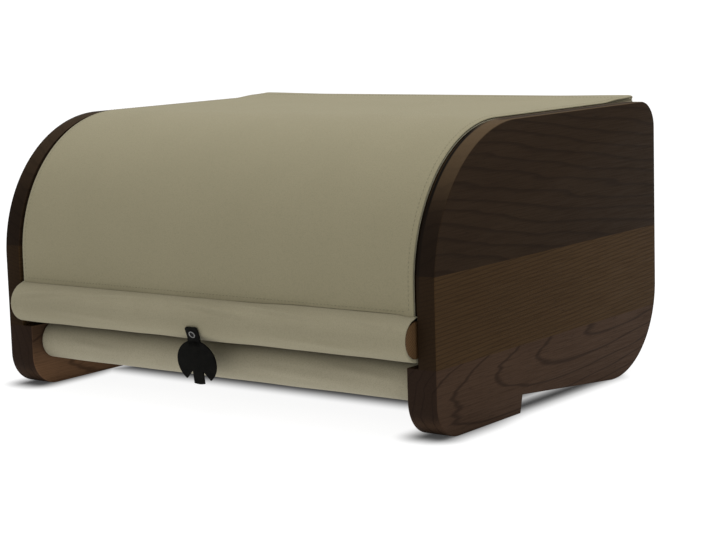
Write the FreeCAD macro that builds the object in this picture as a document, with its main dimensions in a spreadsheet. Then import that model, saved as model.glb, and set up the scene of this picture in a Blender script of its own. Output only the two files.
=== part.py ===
import FreeCAD, Part
import math
import os

import Sketcher
from FreeCAD import Placement, Rotation, Vector

os.makedirs("parts", exist_ok=True)
doc = FreeCAD.newDocument("lidbox")

# Driving dimensions in millimetres and degrees, one cell and one alias each
SIZES = {
    "width": 400,
    "depth": 304,
    "height": 206,
    "side_board": 24,
    "high_board": 96,
    "front_radius": 105,
    "back_radius": 20,
    "toe_radius": 25,
    "heel_radius": 66,
    "heel_flat": 3.5,
    "foot_length": 103,
    "step_run": 3.2,
    "step_rise": 12.6,
    "flange": 14.5,
    "rabbet_front": 4,
    "rabbet_top": 2.4,
    "pocket_depth": 19,
    "pocket_head": 1,
    "ledge_gap": 4,
    "bottom_drop": 13,
    "bottom_board": 12,
    "back_board": 12,
    "back_inset": 19,
    "top_board": 12,
    "pin_radius": 3,
    "pin_length": 28,
    "pin_sink": 13,
    "pin_margin": 35,
    "glue_gap": 0.05,
    "side_gap": 1.6,
    "seat_gap": 0.3,
    "ply_gap": 0.05,
    "lining_ply": 1,
    "slat_ply": 1.4,
    "cloth_ply": 1.1,
    "slat_margin": 2.5,
    "slat_side": 4,
    "section_gap": 0.3,
    "fold_gap": 1,
    "fold_angle": 8.2,
    "cover_inset": 6,
    "strip_width": 14,
    "strip_ply": 3,
    "ramp_run": 27,
    "screw_radius": 2,
    "head_radius": 3.6,
    "head_rise": 2,
    "screw_margin": 35,
    "dowel_radius": 12.5,
    "dowel_gap": 0.2,
    "dowel_inset": 0.4,
    "bar_set": 2,
    "drop": 18.8,
    "bar_wrap_ply": 2.3,
    "crease_gap": 1,
    "rail_set": 23,
    "rail_drop": 32,
    "rail_wrap_ply": 1.6,
    "rail_tenon": 8,
    "rail_clear": 0.7,
    "tab_angle": 31,
    "tab_lean": 8,
    "tab_ply": 1.6,
    "tab_gap": 0.6,
    "neck_width": 12.3,
    "neck_bend": 25,
    "neck_above": 5.4,
    "neck_below": 4.2,
    "neck_root": 5,
    "disc_drop": 0.9,
    "disc_half_width": 18,
    "disc_half_height": 16.4,
    "notch_inner": 5.2,
    "notch_outer": 15.3,
    "notch_rise": 10.1,
    "rivet_radius": 1.6,
    "rivet_flange": 3,
    "rivet_flange_ply": 0.8,
    "rivet_bore": 0.9,
    "rivet_bore_depth": 4,
    "rivet_sink": 8,
}

# Counts, and the overrun that a cutting block has past the face it cuts
FOLD_SECTIONS = 2
ARC_SECTIONS = 8
FIXED_SLATS = 7
SCREWS = 5
SPARE = "1"

sheet = doc.addObject("Spreadsheet::Sheet", "Sizes")
for row, (alias, value) in enumerate(SIZES.items(), start=1):
    sheet.set(f"A{row}", alias.replace("_", " "))
    sheet.set(f"B{row}", str(value))
    sheet.setAlias(f"B{row}", alias)
doc.recompute()

# Places that several pieces share, as expressions of the sheet's cells
tab_in = "(Sizes.dowel_radius + Sizes.dowel_gap + Sizes.bar_wrap_ply + Sizes.tab_gap)"
neck_tip = "(Sizes.tab_angle - Sizes.neck_above / Sizes.neck_bend * 180 / pi)"
neck_reach = (f"(({tab_in} - Sizes.neck_bend) * cos(Sizes.tab_angle)"
              f" + (Sizes.neck_bend + Sizes.tab_ply) * cos({neck_tip}) - Sizes.bar_set)")
front = f"(({neck_reach} - Sizes.depth) / 2)"
rear = f"({front} + Sizes.depth)"
panel_outer = "(Sizes.width / 2)"
panel_inner = "(Sizes.width / 2 - Sizes.side_board)"
rabbet_side = "(Sizes.width / 2 - Sizes.flange)"
cover_half = f"({rabbet_side} - Sizes.side_gap)"
slat_half = f"({cover_half} - Sizes.slat_side)"
floor_radius = "(Sizes.front_radius - (Sizes.rabbet_front + Sizes.rabbet_top) / 2)"
rabbet_y = f"({front} + Sizes.rabbet_front)"
arc_y = f"({rabbet_y} + {floor_radius})"
rabbet_z = "(Sizes.height - Sizes.rabbet_top)"
arc_z = f"({rabbet_z} - {floor_radius})"

# Radii of the cover's layers about the arc's axis
lining_in = f"({floor_radius} + Sizes.seat_gap)"
lining_out = f"({lining_in} + Sizes.lining_ply)"
slat_in = f"({lining_out} + Sizes.ply_gap)"
slat_out = f"({slat_in} + Sizes.slat_ply)"
cloth_in = f"({slat_out} + Sizes.ply_gap)"
cloth_out = f"({cloth_in} + Sizes.cloth_ply)"
hinge_radius = f"({cloth_in} + Sizes.cloth_ply / 2)"

cover_end = f"({rear} - Sizes.cover_inset)"
hem_inner = f"({cover_end} - Sizes.cloth_ply)"
strip_rear = f"({hem_inner} - Sizes.ply_gap)"
strip_front = f"({strip_rear} - Sizes.strip_width)"
strip_low = f"({arc_z} + {slat_in})"
strip_top = f"({strip_low} + Sizes.strip_ply)"
top_under = f"({rabbet_z} - Sizes.top_board)"
back_rear = f"({rear} - Sizes.back_inset)"
back_front = f"({back_rear} - Sizes.back_board)"
bar_y = f"({front} + Sizes.bar_set)"
rail_y = f"({front} + Sizes.rail_set)"
dowel_hole = "(Sizes.dowel_radius + Sizes.dowel_gap)"
roll_radius = f"({dowel_hole} + Sizes.bar_wrap_ply)"
rail_roll = f"({dowel_hole} + Sizes.rail_wrap_ply)"
crease_z = f"({arc_z} - Sizes.drop)"
bar_z = f"({crease_z} - Sizes.crease_gap - {roll_radius})"
rail_z = f"({bar_z} - Sizes.rail_drop)"
bottom_low = f"({rail_z} - Sizes.bottom_drop)"
bottom_top = f"({bottom_low} + Sizes.bottom_board)"
pocket_top = f"({crease_z} + Sizes.pocket_head)"
low_joint = f"({bar_z} - {roll_radius} - Sizes.ledge_gap)"
high_joint = "(Sizes.height - Sizes.high_board)"
bottom_front = f"({rail_y} + {rail_roll} + Sizes.rail_clear)"
arc_step = f"((90 - {FOLD_SECTIONS} * Sizes.fold_angle) / {ARC_SECTIONS - FOLD_SECTIONS})"
tab_out = f"({tab_in} + Sizes.tab_ply)"

parts = {}


def value_of(expression):
    return float(sheet.evalExpression(expression))


def bind(thing, **expressions):
    for name, expression in expressions.items():
        thing.setExpression(name, expression)
    return thing


def place(thing, x="0", y="0", z="0"):
    for axis, expression in zip("xyz", (x, y, z)):
        thing.setExpression("Placement.Base." + axis, expression)
    return thing


def turn_about_x(thing, angle, y, z):
    thing.Placement = Placement(Vector(), Rotation(Vector(1, 0, 0), value_of(angle)))
    thing.setExpression("Placement.Rotation.Angle", angle)
    return place(thing, "0", y, z)


def box(name, low, high):
    thing = doc.addObject("Part::Box", name)
    length, width, height = [f"({b}) - ({a})" for a, b in zip(low, high)]
    bind(thing, Length=length, Width=width, Height=height)
    return place(thing, *low)


def slab(name, half_length, y_low, y_high, z_low, z_high):
    # A block that lies evenly about the middle of the box
    return box(name, (f"-{half_length}", y_low, z_low), (half_length, y_high, z_high))


def post(name, radius, x, y, z_low, z_high):
    thing = doc.addObject("Part::Cylinder", name)
    bind(thing, Radius=radius, Height=f"({z_high}) - ({z_low})")
    return place(thing, x, y, z_low)


def crossbar(name, radius, x_low, x_high, y="0", z="0", sweep="360"):
    # A round bar along X. A part sweep opens from straight down towards the back
    thing = doc.addObject("Part::Cylinder", name)
    thing.Placement = Placement(Vector(), Rotation(Vector(0, 1, 0), 90))
    bind(thing, Radius=radius, Height=f"({x_high}) - ({x_low})", Angle=sweep)
    return place(thing, x_low, y, z)


def cut(name, base, tool):
    thing = doc.addObject("Part::Cut", name)
    thing.Base = base
    thing.Tool = tool
    return thing


def common(name, base, tool):
    thing = doc.addObject("Part::Common", name)
    thing.Base = base
    thing.Tool = tool
    return thing


def group(name, things):
    thing = doc.addObject("Part::Compound", name)
    thing.Links = things
    return thing


def fuse(name, things):
    thing = doc.addObject("Part::MultiFuse", name)
    thing.Shapes = things
    return thing


def mirror(name, source):
    thing = doc.addObject("Part::Mirroring", name)
    thing.Source = source
    thing.Normal = Vector(1, 0, 0)
    return thing


def polygon(name, points):
    # A closed sketch whose corners are each held at a pair of expressions
    sketch = doc.addObject("Sketcher::SketchObject", name)
    corners = [(value_of(a), value_of(b)) for a, b in points]
    count = len(points)
    for index, corner in enumerate(corners):
        following = corners[(index + 1) % count]
        sketch.addGeometry(Part.LineSegment(Vector(*corner, 0), Vector(*following, 0)), False)
    for index in range(count):
        sketch.addConstraint(Sketcher.Constraint("Coincident", index, 2, (index + 1) % count, 1))
        for kind, place_of, expression in zip(("DistanceX", "DistanceY"), corners[index], points[index]):
            number = sketch.addConstraint(Sketcher.Constraint(kind, -1, 1, index, 1, place_of))
            sketch.setExpression(f"Constraints[{number}]", expression)
    return sketch


def extrude(name, sketch, length):
    thing = doc.addObject("Part::Extrusion", name)
    thing.Base = sketch
    thing.DirMode = "Normal"
    thing.Solid = True
    return bind(thing, LengthFwd=length)


def cross_prism(name, half_length, points):
    # A prism along X over a polygon of (y, z) points
    sketch = polygon(name + "_outline", points)
    sketch.Placement = Placement(Vector(), Rotation(Vector(1, 1, 1), 120))
    return place(extrude(name, sketch, f"2 * {half_length}"), f"-{half_length}")


def ring(name, inner, outer, half_length, start, sweep, y, z):
    # A curved strip about an axis along X, from the start angle over the sweep
    whole = crossbar(name + "_whole", outer, f"-{half_length}", half_length, sweep=sweep)
    core = crossbar(name + "_core", inner, f"-{half_length}", half_length)
    return turn_about_x(cut(name, whole, core), start, y, z)


def corner_nook(name, radius, y_edge, z_edge, inward_y, inward_z, x_low, x_high):
    # What a rounded corner takes away: a square block less the round bar inside it
    y_centre = f"({y_edge} + {inward_y} * {radius})"
    z_centre = f"({z_edge} + {inward_z} * {radius})"
    y_past = f"({y_edge} - {inward_y} * {SPARE})"
    z_past = f"({z_edge} - {inward_z} * {SPARE})"
    y_span = (y_past, y_centre) if inward_y > 0 else (y_centre, y_past)
    z_span = (z_past, z_centre) if inward_z > 0 else (z_centre, z_past)
    block = box(name + "_block", (x_low, y_span[0], z_span[0]), (x_high, y_span[1], z_span[1]))
    bar = crossbar(name + "_bar", radius, x_low, x_high, y_centre, z_centre)
    return cut(name, block, bar)


def keep(name, thing):
    thing.Label = name
    parts[name] = thing
    return thing


def along(low, high, index, count, margin):
    # The place of one of several things spread evenly between two margins
    return f"({low} + {margin} + ({high} - {low} - 2 * {margin}) * {index} / {count - 1})"


# Dowel pins that join the three cross boards to the side panels
pin_places = []
for index in range(3):
    pin_places.append((along(bottom_front, back_rear, index, 3, "Sizes.pin_margin"),
                       f"({bottom_top} - Sizes.bottom_board / 2)"))
for index in range(3):
    pin_places.append((along(arc_y, cover_end, index, 3, "Sizes.pin_margin"),
                       f"({rabbet_z} - Sizes.top_board / 2)"))
for index in range(2):
    pin_places.append((f"({back_rear} - Sizes.back_board / 2)",
                       along(bottom_top, top_under, index, 2, "Sizes.pin_margin")))

pin_low = f"({panel_inner} - Sizes.pin_length + Sizes.pin_sink)"
pin_high = f"({panel_inner} + Sizes.pin_sink)"
pins = []
pin_holes = []
for index, (y, z) in enumerate(pin_places):
    pins.append(crossbar(f"pin_{index}", "Sizes.pin_radius", pin_low, pin_high, y, z))
    pin_holes.append(crossbar(f"pin_hole_{index}", "Sizes.pin_radius + Sizes.glue_gap",
                              f"({pin_low} - Sizes.glue_gap)", f"({pin_high} + Sizes.glue_gap)", y, z))
right_pins = group("right_pins", pins)
right_holes = group("right_holes", pin_holes)
left_holes = mirror("left_holes", right_holes)
keep("dowel_pins", group("dowel_pins", [right_pins, mirror("left_pins", right_pins)]))

# One side panel's outline: a block with four round corners and a shallow arch behind the front foot
blank_low = (panel_inner, front, "0")
blank_high = (panel_outer, rear, "Sizes.height")
blank = box("blank", blank_low, blank_high)
trim_low = f"({panel_inner} - {SPARE})"
trim_high = f"({panel_outer} + {SPARE})"
step_y = f"({front} + Sizes.foot_length)"
heel_start = f"({rear} - Sizes.heel_radius - Sizes.heel_flat)"
arch = cross_prism("arch", trim_high, [
    (step_y, f"-{SPARE}"),
    (step_y, "0"),
    (f"({step_y} + Sizes.step_run)", "Sizes.step_rise"),
    (heel_start, "0"),
    (heel_start, f"-{SPARE}"),
])
nooks = [
    corner_nook("front_nook", "Sizes.front_radius", front, "Sizes.height", 1, -1, trim_low, trim_high),
    corner_nook("back_nook", "Sizes.back_radius", rear, "Sizes.height", -1, -1, trim_low, trim_high),
    corner_nook("toe_nook", "Sizes.toe_radius", front, "0", 1, 1, trim_low, trim_high),
    corner_nook("heel_nook", "Sizes.heel_radius", rear, "0", -1, 1, trim_low, trim_high),
]
panel = cut("panel", blank, group("panel_trims", nooks + [arch]))

# The rabbet that the cover lies in, and the pocket below it for the bar's end
core_block = box("core_block", (trim_low, rabbet_y, "0"), (trim_high, f"({rear} + 2 * {SPARE})", rabbet_z))
core_nook = corner_nook("core_nook", floor_radius, rabbet_y, rabbet_z, 1, -1, trim_low, trim_high)
rabbet_block = box("rabbet_block", (trim_low, f"({front} - {SPARE})", pocket_top),
                   (rabbet_side, f"({rear} + {SPARE})", f"(Sizes.height + {SPARE})"))
rabbet = cut("rabbet", rabbet_block, cut("core", core_block, core_nook))
pocket = box("pocket", (trim_low, f"({front} - {SPARE})", low_joint),
             (rabbet_side, f"({front} + Sizes.pocket_depth)", pocket_top))
tenon_hole = crossbar("tenon_hole", "Sizes.dowel_radius + Sizes.glue_gap", trim_low,
                      f"({panel_inner} + Sizes.rail_tenon + Sizes.glue_gap)", rail_y, rail_z)

# Each panel is glued up from three boards, one above the other
board_spans = {
    "low": ("0", low_joint, [tenon_hole]),
    "middle": (low_joint, high_joint, [pocket, rabbet]),
    "high": (high_joint, "Sizes.height", [rabbet]),
}
for level, (z_low, z_high, tools) in board_spans.items():
    span = box(f"{level}_span", (panel_inner, front, z_low), (panel_outer, rear, z_high))
    rough = common(f"{level}_rough", panel, span)
    for number, tool in enumerate(tools + [right_holes]):
        rough = cut(f"{level}_cut_{number}", rough, tool)
    keep(f"right_board_{level}", rough)
    keep(f"left_board_{level}", mirror(f"left_{level}", rough))

# The cross boards
cross_boards = {
    "bottom_board": slab("bottom_slab", panel_inner, bottom_front, back_rear, bottom_low, bottom_top),
    "back_board": slab("back_slab", panel_inner, back_front, back_rear, bottom_top, top_under),
    "top_board": slab("top_slab", panel_inner, arc_y, hem_inner, top_under, rabbet_z),
}
for name, rough in cross_boards.items():
    cross_boards[name] = cut(name + "_drilled", cut(name + "_right", rough, right_holes), left_holes)

# Screws that come up through the top board into the clamp strip
screw_y = f"({strip_front} + Sizes.strip_width / 2)"
screws = []
screw_holes = []
for index in range(SCREWS):
    x = along(f"-{slat_half}", slat_half, index, SCREWS, "Sizes.screw_margin")
    shank = post(f"shank_{index}", "Sizes.screw_radius", x, screw_y, top_under, f"({strip_top} - Sizes.seat_gap)")
    head = post(f"head_{index}", "Sizes.head_radius", x, screw_y, f"({top_under} - Sizes.head_rise)", top_under)
    screws.append(fuse(f"screw_{index}", [shank, head]))
    screw_holes.append(post(f"screw_hole_{index}", "Sizes.screw_radius + Sizes.glue_gap", x, screw_y,
                            f"({top_under} - {SPARE})", f"({strip_top} + {SPARE})"))
keep("clamp_screws", group("clamp_screws", screws))
screw_tools = group("screw_tools", screw_holes)

keep("bottom_board", cross_boards["bottom_board"])
keep("back_board", cross_boards["back_board"])
keep("top_board", cut("top_bored", cross_boards["top_board"], screw_tools))

# The fixed rear part of the cover, which lies flat on the top board
lining_low = f"({arc_z} + {lining_in})"
lining_high = f"({arc_z} + {lining_out})"
cloth_low = f"({arc_z} + {cloth_in})"
cloth_high = f"({arc_z} + {cloth_out})"
fixed_front = f"({arc_y} + Sizes.fold_gap / 2)"
hem_low = f"({strip_top} + Sizes.ply_gap)"
hem_high = f"({hem_low} + Sizes.cloth_ply)"
ramp_start = f"({strip_front} - Sizes.ramp_run)"
keep("fixed_lining", cut("fixed_lining", slab("fixed_lining_slab", cover_half, fixed_front, strip_rear,
                                              lining_low, lining_high), screw_tools))
keep("clamp_strip", cut("clamp_strip", slab("strip_slab", slat_half, strip_front, strip_rear,
                                            strip_low, strip_top), screw_tools))
keep("fixed_cloth", cross_prism("fixed_cloth", cover_half, [
    (fixed_front, cloth_low),
    (ramp_start, cloth_low),
    (strip_front, hem_low),
    (hem_inner, hem_low),
    (hem_inner, lining_low),
    (cover_end, lining_low),
    (cover_end, hem_high),
    (strip_front, hem_high),
    (ramp_start, cloth_high),
    (fixed_front, cloth_high),
]))
fixed_pitch = f"(({strip_front} - {fixed_front}) / {FIXED_SLATS})"
fixed_slats = []
for index in range(FIXED_SLATS):
    start = f"({fixed_front} + {fixed_pitch} * {index})"
    fixed_slats.append(slab(f"fixed_slat_{index}", slat_half, f"({start} + Sizes.slat_margin)",
                            f"({start} + {fixed_pitch} - Sizes.slat_margin)",
                            f"({arc_z} + {slat_in})", f"({arc_z} + {slat_out})"))
keep("fixed_slats", group("fixed_slats", fixed_slats))


def gap_before(section):
    # Sections fold tightly at the first hinges and need more room there
    return "Sizes.fold_gap" if section <= FOLD_SECTIONS else "Sizes.section_gap"


def as_angle(length):
    return f"({length} / {hinge_radius} * 180 / pi)"


# The moving cover: curved sections between hinge lines, each with lining, slat and cloth
layers = {
    "lining": (lining_in, lining_out, cover_half, "0"),
    "slat": (slat_in, slat_out, slat_half, "Sizes.slat_margin"),
    "cloth": (cloth_in, cloth_out, cover_half, "0"),
}
hinge_angles = []
for section in range(ARC_SECTIONS + 1):
    folds = min(section, FOLD_SECTIONS)
    hinge_angles.append(f"({folds} * Sizes.fold_angle + {section - folds} * {arc_step})")
for section in range(ARC_SECTIONS):
    for layer, (inner, outer, half_length, margin) in layers.items():
        before = as_angle(f"({gap_before(section)} / 2 + {margin})")
        after = as_angle(f"({gap_before(section + 1)} / 2 + {margin})")
        start = f"(180 + {hinge_angles[section]} + {before})"
        sweep = f"({hinge_angles[section + 1]} - {hinge_angles[section]} - {before} - {after})"
        name = f"{layer}_{section + 1}"
        keep(name, ring(name, inner, outer, half_length, start, sweep, arc_y, arc_z))

# The last, straight section hangs from the end of the arc down to the crease
for layer, (inner, outer, half_length, margin) in layers.items():
    name = f"{layer}_{ARC_SECTIONS + 1}"
    keep(name, slab(name, half_length, f"({arc_y} - {outer})", f"({arc_y} - {inner})",
                    f"({crease_z} + Sizes.section_gap / 2 + {margin})",
                    f"({arc_z} - Sizes.section_gap / 2 - {margin})"))


def along_rivet(distance):
    # The point on the rivet's axis at a distance from the bar's axis
    return (f"({bar_y} - {distance} * cos(Sizes.tab_angle))",
            f"({bar_z} - {distance} * sin(Sizes.tab_angle))")


# The bar: a round dowel in a tunnel of cloth, with a short tongue up to the crease
rivet_turn = "(90 + Sizes.tab_angle)"
rivet_low = "(Sizes.dowel_radius - Sizes.rivet_sink)"
rivet_hole = post("rivet_hole", "Sizes.rivet_radius + Sizes.glue_gap", "0", "0",
                  f"({rivet_low} - Sizes.glue_gap)", f"({tab_out} + {SPARE})")
turn_about_x(rivet_hole, rivet_turn, *along_rivet(f"({rivet_low} - Sizes.glue_gap)"))
dowel_half = f"({cover_half} - Sizes.dowel_inset)"
bar_round = crossbar("bar_round", "Sizes.dowel_radius", f"-{dowel_half}", dowel_half,
                     bar_y, bar_z)
keep("bar_dowel", cut("bar_dowel", bar_round, rivet_hole))
roll = crossbar("roll", roll_radius, f"-{cover_half}", cover_half, bar_y, bar_z)
tongue = slab("tongue", cover_half, f"({arc_y} - {cloth_out})", f"({arc_y} - {lining_in})",
              bar_z, f"({crease_z} - Sizes.section_gap / 2)")
tunnel = crossbar("tunnel", dowel_hole, f"-{panel_outer}", panel_outer, bar_y, bar_z)
keep("bar_wrap", cut("bar_wrap", cut("bar_sleeve", fuse("bar_cloth", [roll, tongue]), tunnel), rivet_hole))

# The tubular rivet, made upright along the bar's radius and then turned to the tab's angle
flange_low = f"({tab_out} + Sizes.glue_gap)"
flange_high = f"({flange_low} + Sizes.rivet_flange_ply)"
rivet_solid = fuse("rivet_solid", [
    post("rivet_shank", "Sizes.rivet_radius", "0", "0", rivet_low, flange_high),
    post("rivet_ring", "Sizes.rivet_flange", "0", "0", flange_low, flange_high),
])
rivet_mouth = post("rivet_mouth", "Sizes.rivet_bore", "0", "0",
                   f"({flange_high} - Sizes.rivet_bore_depth)", f"({flange_high} + {SPARE})")
keep("tab_rivet", turn_about_x(cut("tab_rivet", rivet_solid, rivet_mouth), rivet_turn,
                               bar_y, bar_z))

# The pull tab: a neck that bends over the bar, less than the bar's own curve so that it can swivel,
# and a plate with two notches that hangs from it
neck_axis = along_rivet(f"({tab_in} - Sizes.neck_bend)")
neck_up = "(Sizes.neck_above / Sizes.neck_bend * 180 / pi)"
neck_down = "(Sizes.neck_below / Sizes.neck_bend * 180 / pi)"
neck = ring("neck", "Sizes.neck_bend", "(Sizes.neck_bend + Sizes.tab_ply)", "(Sizes.neck_width / 2)",
            f"(270 + Sizes.tab_angle - {neck_up})", f"({neck_up} + {neck_down})", *neck_axis)
disc_low = "(-Sizes.disc_drop - 2 * Sizes.disc_half_height)"
disc_outline = doc.addObject("Part::Ellipse", "disc_outline")
bind(disc_outline, MajorRadius="Sizes.disc_half_width", MinorRadius="Sizes.disc_half_height")
place(disc_outline, "0", "(-Sizes.disc_drop - Sizes.disc_half_height)", "0")
disc = extrude("disc", disc_outline, "Sizes.tab_ply")
root = box("neck_root", ("(-Sizes.neck_width / 2)", "(-Sizes.neck_root)", "0"),
           ("(Sizes.neck_width / 2)", "0", "Sizes.tab_ply"))
notch_outline = polygon("notch_outline", [
    ("Sizes.notch_inner", f"({disc_low} + Sizes.notch_rise)"),
    ("Sizes.notch_outer", disc_low),
    ("Sizes.notch_inner", disc_low),
])
notch = place(extrude("notch", notch_outline, f"(Sizes.tab_ply + 2 * {SPARE})"), "0", "0", f"-{SPARE}")
notches = group("notches", [notch, mirror("notch_twin", notch)])
plate = cut("tab_plate", fuse("tab_blank", [disc, root]), notches)
plate_top = f"(Sizes.tab_angle + {neck_down})"
turn_about_x(plate, "(90 + Sizes.tab_lean)", f"({neck_axis[0]} - Sizes.neck_bend * cos({plate_top}))",
             f"({neck_axis[1]} - Sizes.neck_bend * sin({plate_top}))")
keep("pull_tab", cut("pull_tab", fuse("tab_whole", [neck, plate]), rivet_hole))

# The fixed front rail: a dowel let into both panels, in its own sleeve of cloth
tenon_end = f"({panel_inner} + Sizes.rail_tenon)"
keep("rail_dowel", crossbar("rail_dowel", "Sizes.dowel_radius", f"-{tenon_end}", tenon_end,
                            rail_y, rail_z))
sleeve_half = f"({panel_inner} - Sizes.side_gap)"
sleeve = crossbar("sleeve", rail_roll, f"-{sleeve_half}", sleeve_half, rail_y, rail_z)
sleeve_bore = crossbar("sleeve_bore", dowel_hole, f"-{panel_outer}", panel_outer,
                       rail_y, rail_z)
keep("rail_wrap", cut("rail_wrap", sleeve, sleeve_bore))

doc.recompute()

for thing in doc.Objects:
    if "Invalid" in thing.State or "Error" in thing.State:
        raise RuntimeError(f"{thing.Name} failed: {thing.State}")
for name, thing in parts.items():
    if thing.Shape.isNull() or not thing.Shape.isValid():
        raise RuntimeError(f"{name} has no valid shape")
for name, thing in parts.items():
    thing.Shape.exportStep(f"parts/{name}.step")
    bounds = thing.Shape.BoundBox
    print(f"{name}: {len(thing.Shape.Solids)} solid(s), {thing.Shape.Volume:.0f} mm3,"
          f" y {bounds.YMin:.2f} to {bounds.YMax:.2f}, z {bounds.ZMin:.2f} to {bounds.ZMax:.2f}")
hinge_line = value_of(hinge_radius)
for number, angle in enumerate(hinge_angles):
    turned = math.radians(value_of(angle))
    print(f"hinge {number}: y {value_of(arc_y) - hinge_line * math.sin(turned):.3f},"
          f" z {value_of(arc_z) + hinge_line * math.cos(turned):.3f}")
print(f"crease: y {value_of(arc_y) - hinge_line:.3f}, z {value_of(crease_z):.3f}")
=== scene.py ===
import math

import bmesh
import bpy
import numpy as np
from mathutils import Matrix, Vector


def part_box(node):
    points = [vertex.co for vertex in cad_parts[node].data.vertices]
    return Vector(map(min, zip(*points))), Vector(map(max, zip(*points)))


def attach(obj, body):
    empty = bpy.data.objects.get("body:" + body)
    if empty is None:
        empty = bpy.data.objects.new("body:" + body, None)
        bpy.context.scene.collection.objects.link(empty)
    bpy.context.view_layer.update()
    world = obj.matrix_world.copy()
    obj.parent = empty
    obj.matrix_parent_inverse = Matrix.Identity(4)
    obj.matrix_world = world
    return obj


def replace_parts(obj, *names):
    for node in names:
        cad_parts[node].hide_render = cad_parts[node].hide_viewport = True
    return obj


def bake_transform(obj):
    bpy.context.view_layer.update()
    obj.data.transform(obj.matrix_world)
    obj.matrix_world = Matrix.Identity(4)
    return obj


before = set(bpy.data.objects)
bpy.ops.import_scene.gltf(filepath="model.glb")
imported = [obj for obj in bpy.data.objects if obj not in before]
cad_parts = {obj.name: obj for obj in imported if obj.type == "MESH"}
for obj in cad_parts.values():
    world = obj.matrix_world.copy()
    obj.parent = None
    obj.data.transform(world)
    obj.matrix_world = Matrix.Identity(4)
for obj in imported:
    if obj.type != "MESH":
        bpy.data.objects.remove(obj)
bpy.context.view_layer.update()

mm = 0.001
print("frame loaded with", len(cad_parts), "nodes")

# The box's own measures in millimetres, the same as in the CAD source
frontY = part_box("right_board_low")[0].y / mm
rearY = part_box("right_board_high")[1].y / mm
boxShape = {
    "outerFace": 200.0, "innerFace": 176.0, "flangeFace": 185.5,
    "frontY": frontY, "rearY": rearY, "topZ": 206.0,
    "frontRadius": 105.0, "backRadius": 20.0, "toeRadius": 25.0, "heelRadius": 66.0,
    "footEnd": frontY + 103.0, "stepEnd": frontY + 106.2, "stepTop": 12.6, "heelStart": rearY - 69.5,
    "lowJoint": 48.0, "highJoint": 110.0,
    "floorRadius": 101.8, "axisY": frontY + 105.8, "axisZ": 101.8,
    "pocketY": frontY + 19.0, "pocketTop": 84.0,
}
barCentre = (frontY + 2.0, 67.0)
railCentre = (frontY + 23.0, 35.0)

# Where the cover bends: the hinge lines in degrees round the curve, and the crease below its end.
# The visible cloth is drawn in a little at the sides, so the gap at the flange reads
coverShape = {"hingeRadius": 105.15, "firstTurns": (0.0, 8.2, 16.4), "evenTurn": 12.2667, "evenCount": 6,
              "creaseDrop": 18.8, "drawnIn": 1.5}
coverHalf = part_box("bar_wrap")[1].x / mm
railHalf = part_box("rail_wrap")[1].x / mm
clothEdge = coverHalf - coverShape["drawnIn"]
hingeRadius = coverShape["hingeRadius"]
evenTurns = coverShape["firstTurns"][-1] + coverShape["evenTurn"] * np.arange(1, coverShape["evenCount"] + 1)
curveLength = math.radians(90.0) * hingeRadius
creaseAt = curveLength + coverShape["creaseDrop"]
hingeAt = [math.radians(turn) * hingeRadius for turn in (*coverShape["firstTurns"], *evenTurns)] + [creaseAt]


# Making meshes
def gridFaces(rows, columns, closed=False):
    # every four neighbours of a grid make a face
    row, column = np.meshgrid(np.arange(rows - 1), np.arange(columns if closed else columns - 1), indexing="ij")
    first, beside = row * columns + column, row * columns + (column + 1) % columns
    return np.stack([first, beside, beside + columns, first + columns], -1).reshape(-1, 4)


def makePiece(name, points, faces, material, caps=(), uv=None, sharpAbove=32.0):
    # points in millimetres; doubles are merged and the faces turned outward
    mesh = bpy.data.meshes.new(name)
    points = np.asarray(points, float).reshape(-1, 3) * mm
    mesh.from_pydata(points.tolist(), [], np.asarray(faces).tolist() + [list(map(int, cap)) for cap in caps])
    if uv is not None:
        layer = mesh.uv_layers.new(name="cloth")
        corner = np.zeros(len(mesh.loops), int)
        mesh.loops.foreach_get("vertex_index", corner)
        layer.data.foreach_set("uv", (np.asarray(uv, float).reshape(-1, 2) * mm)[corner].ravel())
    shape = bmesh.new()
    shape.from_mesh(mesh)
    bmesh.ops.remove_doubles(shape, verts=shape.verts, dist=2e-6)
    bmesh.ops.dissolve_degenerate(shape, edges=shape.edges, dist=1e-7)
    bmesh.ops.recalc_face_normals(shape, faces=shape.faces)
    shape.to_mesh(mesh)
    shape.free()
    mesh.polygons.foreach_set("use_smooth", np.ones(len(mesh.polygons), bool))
    mesh.set_sharp_from_angle(angle=math.radians(sharpAbove))
    piece = bpy.data.objects.new(name, mesh)
    bpy.context.scene.collection.objects.link(piece)
    mesh.materials.append(material)
    return piece


def loft(rings):
    # a closed skin over rings of equal count, with a flat cap at each end
    rings = np.asarray(rings, float)
    count, around = rings.shape[:2]
    caps = (list(range(around))[::-1], list(range((count - 1) * around, count * around)))
    return rings.reshape(-1, 3), gridFaces(count, around, closed=True), caps


def shell(outer, inner, closed=False):
    # two grids, one above the other, joined along their free edges
    rows, columns = outer.shape[:2]
    total = rows * columns
    top = gridFaces(rows, columns, closed)
    index = np.arange(total).reshape(rows, columns)
    edges = [index[0], index[:, -1], index[-1, ::-1], index[::-1, 0]]
    if closed:
        edges = [np.append(edge[::-1], edge[-1]) for edge in edges[::2]]
    rims = [np.stack([edge[1:], edge[:-1], edge[:-1] + total, edge[1:] + total], -1) for edge in edges]
    points = np.concatenate([outer.reshape(-1, 3), inner.reshape(-1, 3)])
    return points, np.concatenate([top, top[:, ::-1] + total] + rims)


def arc(centreY, centreZ, radius, first, last, steps):
    turn = np.radians(np.linspace(first, last, steps))
    return np.stack([centreY + radius * np.cos(turn), centreZ + radius * np.sin(turn)], -1)


def roundOff(radius, steps=4):
    # a quarter circle at an edge: how deep under the face, and how far drawn in
    turns = np.radians(np.linspace(0, 90, steps))
    return [(radius * (1 - math.cos(turn)), radius * (1 - math.sin(turn))) for turn in turns]


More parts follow.
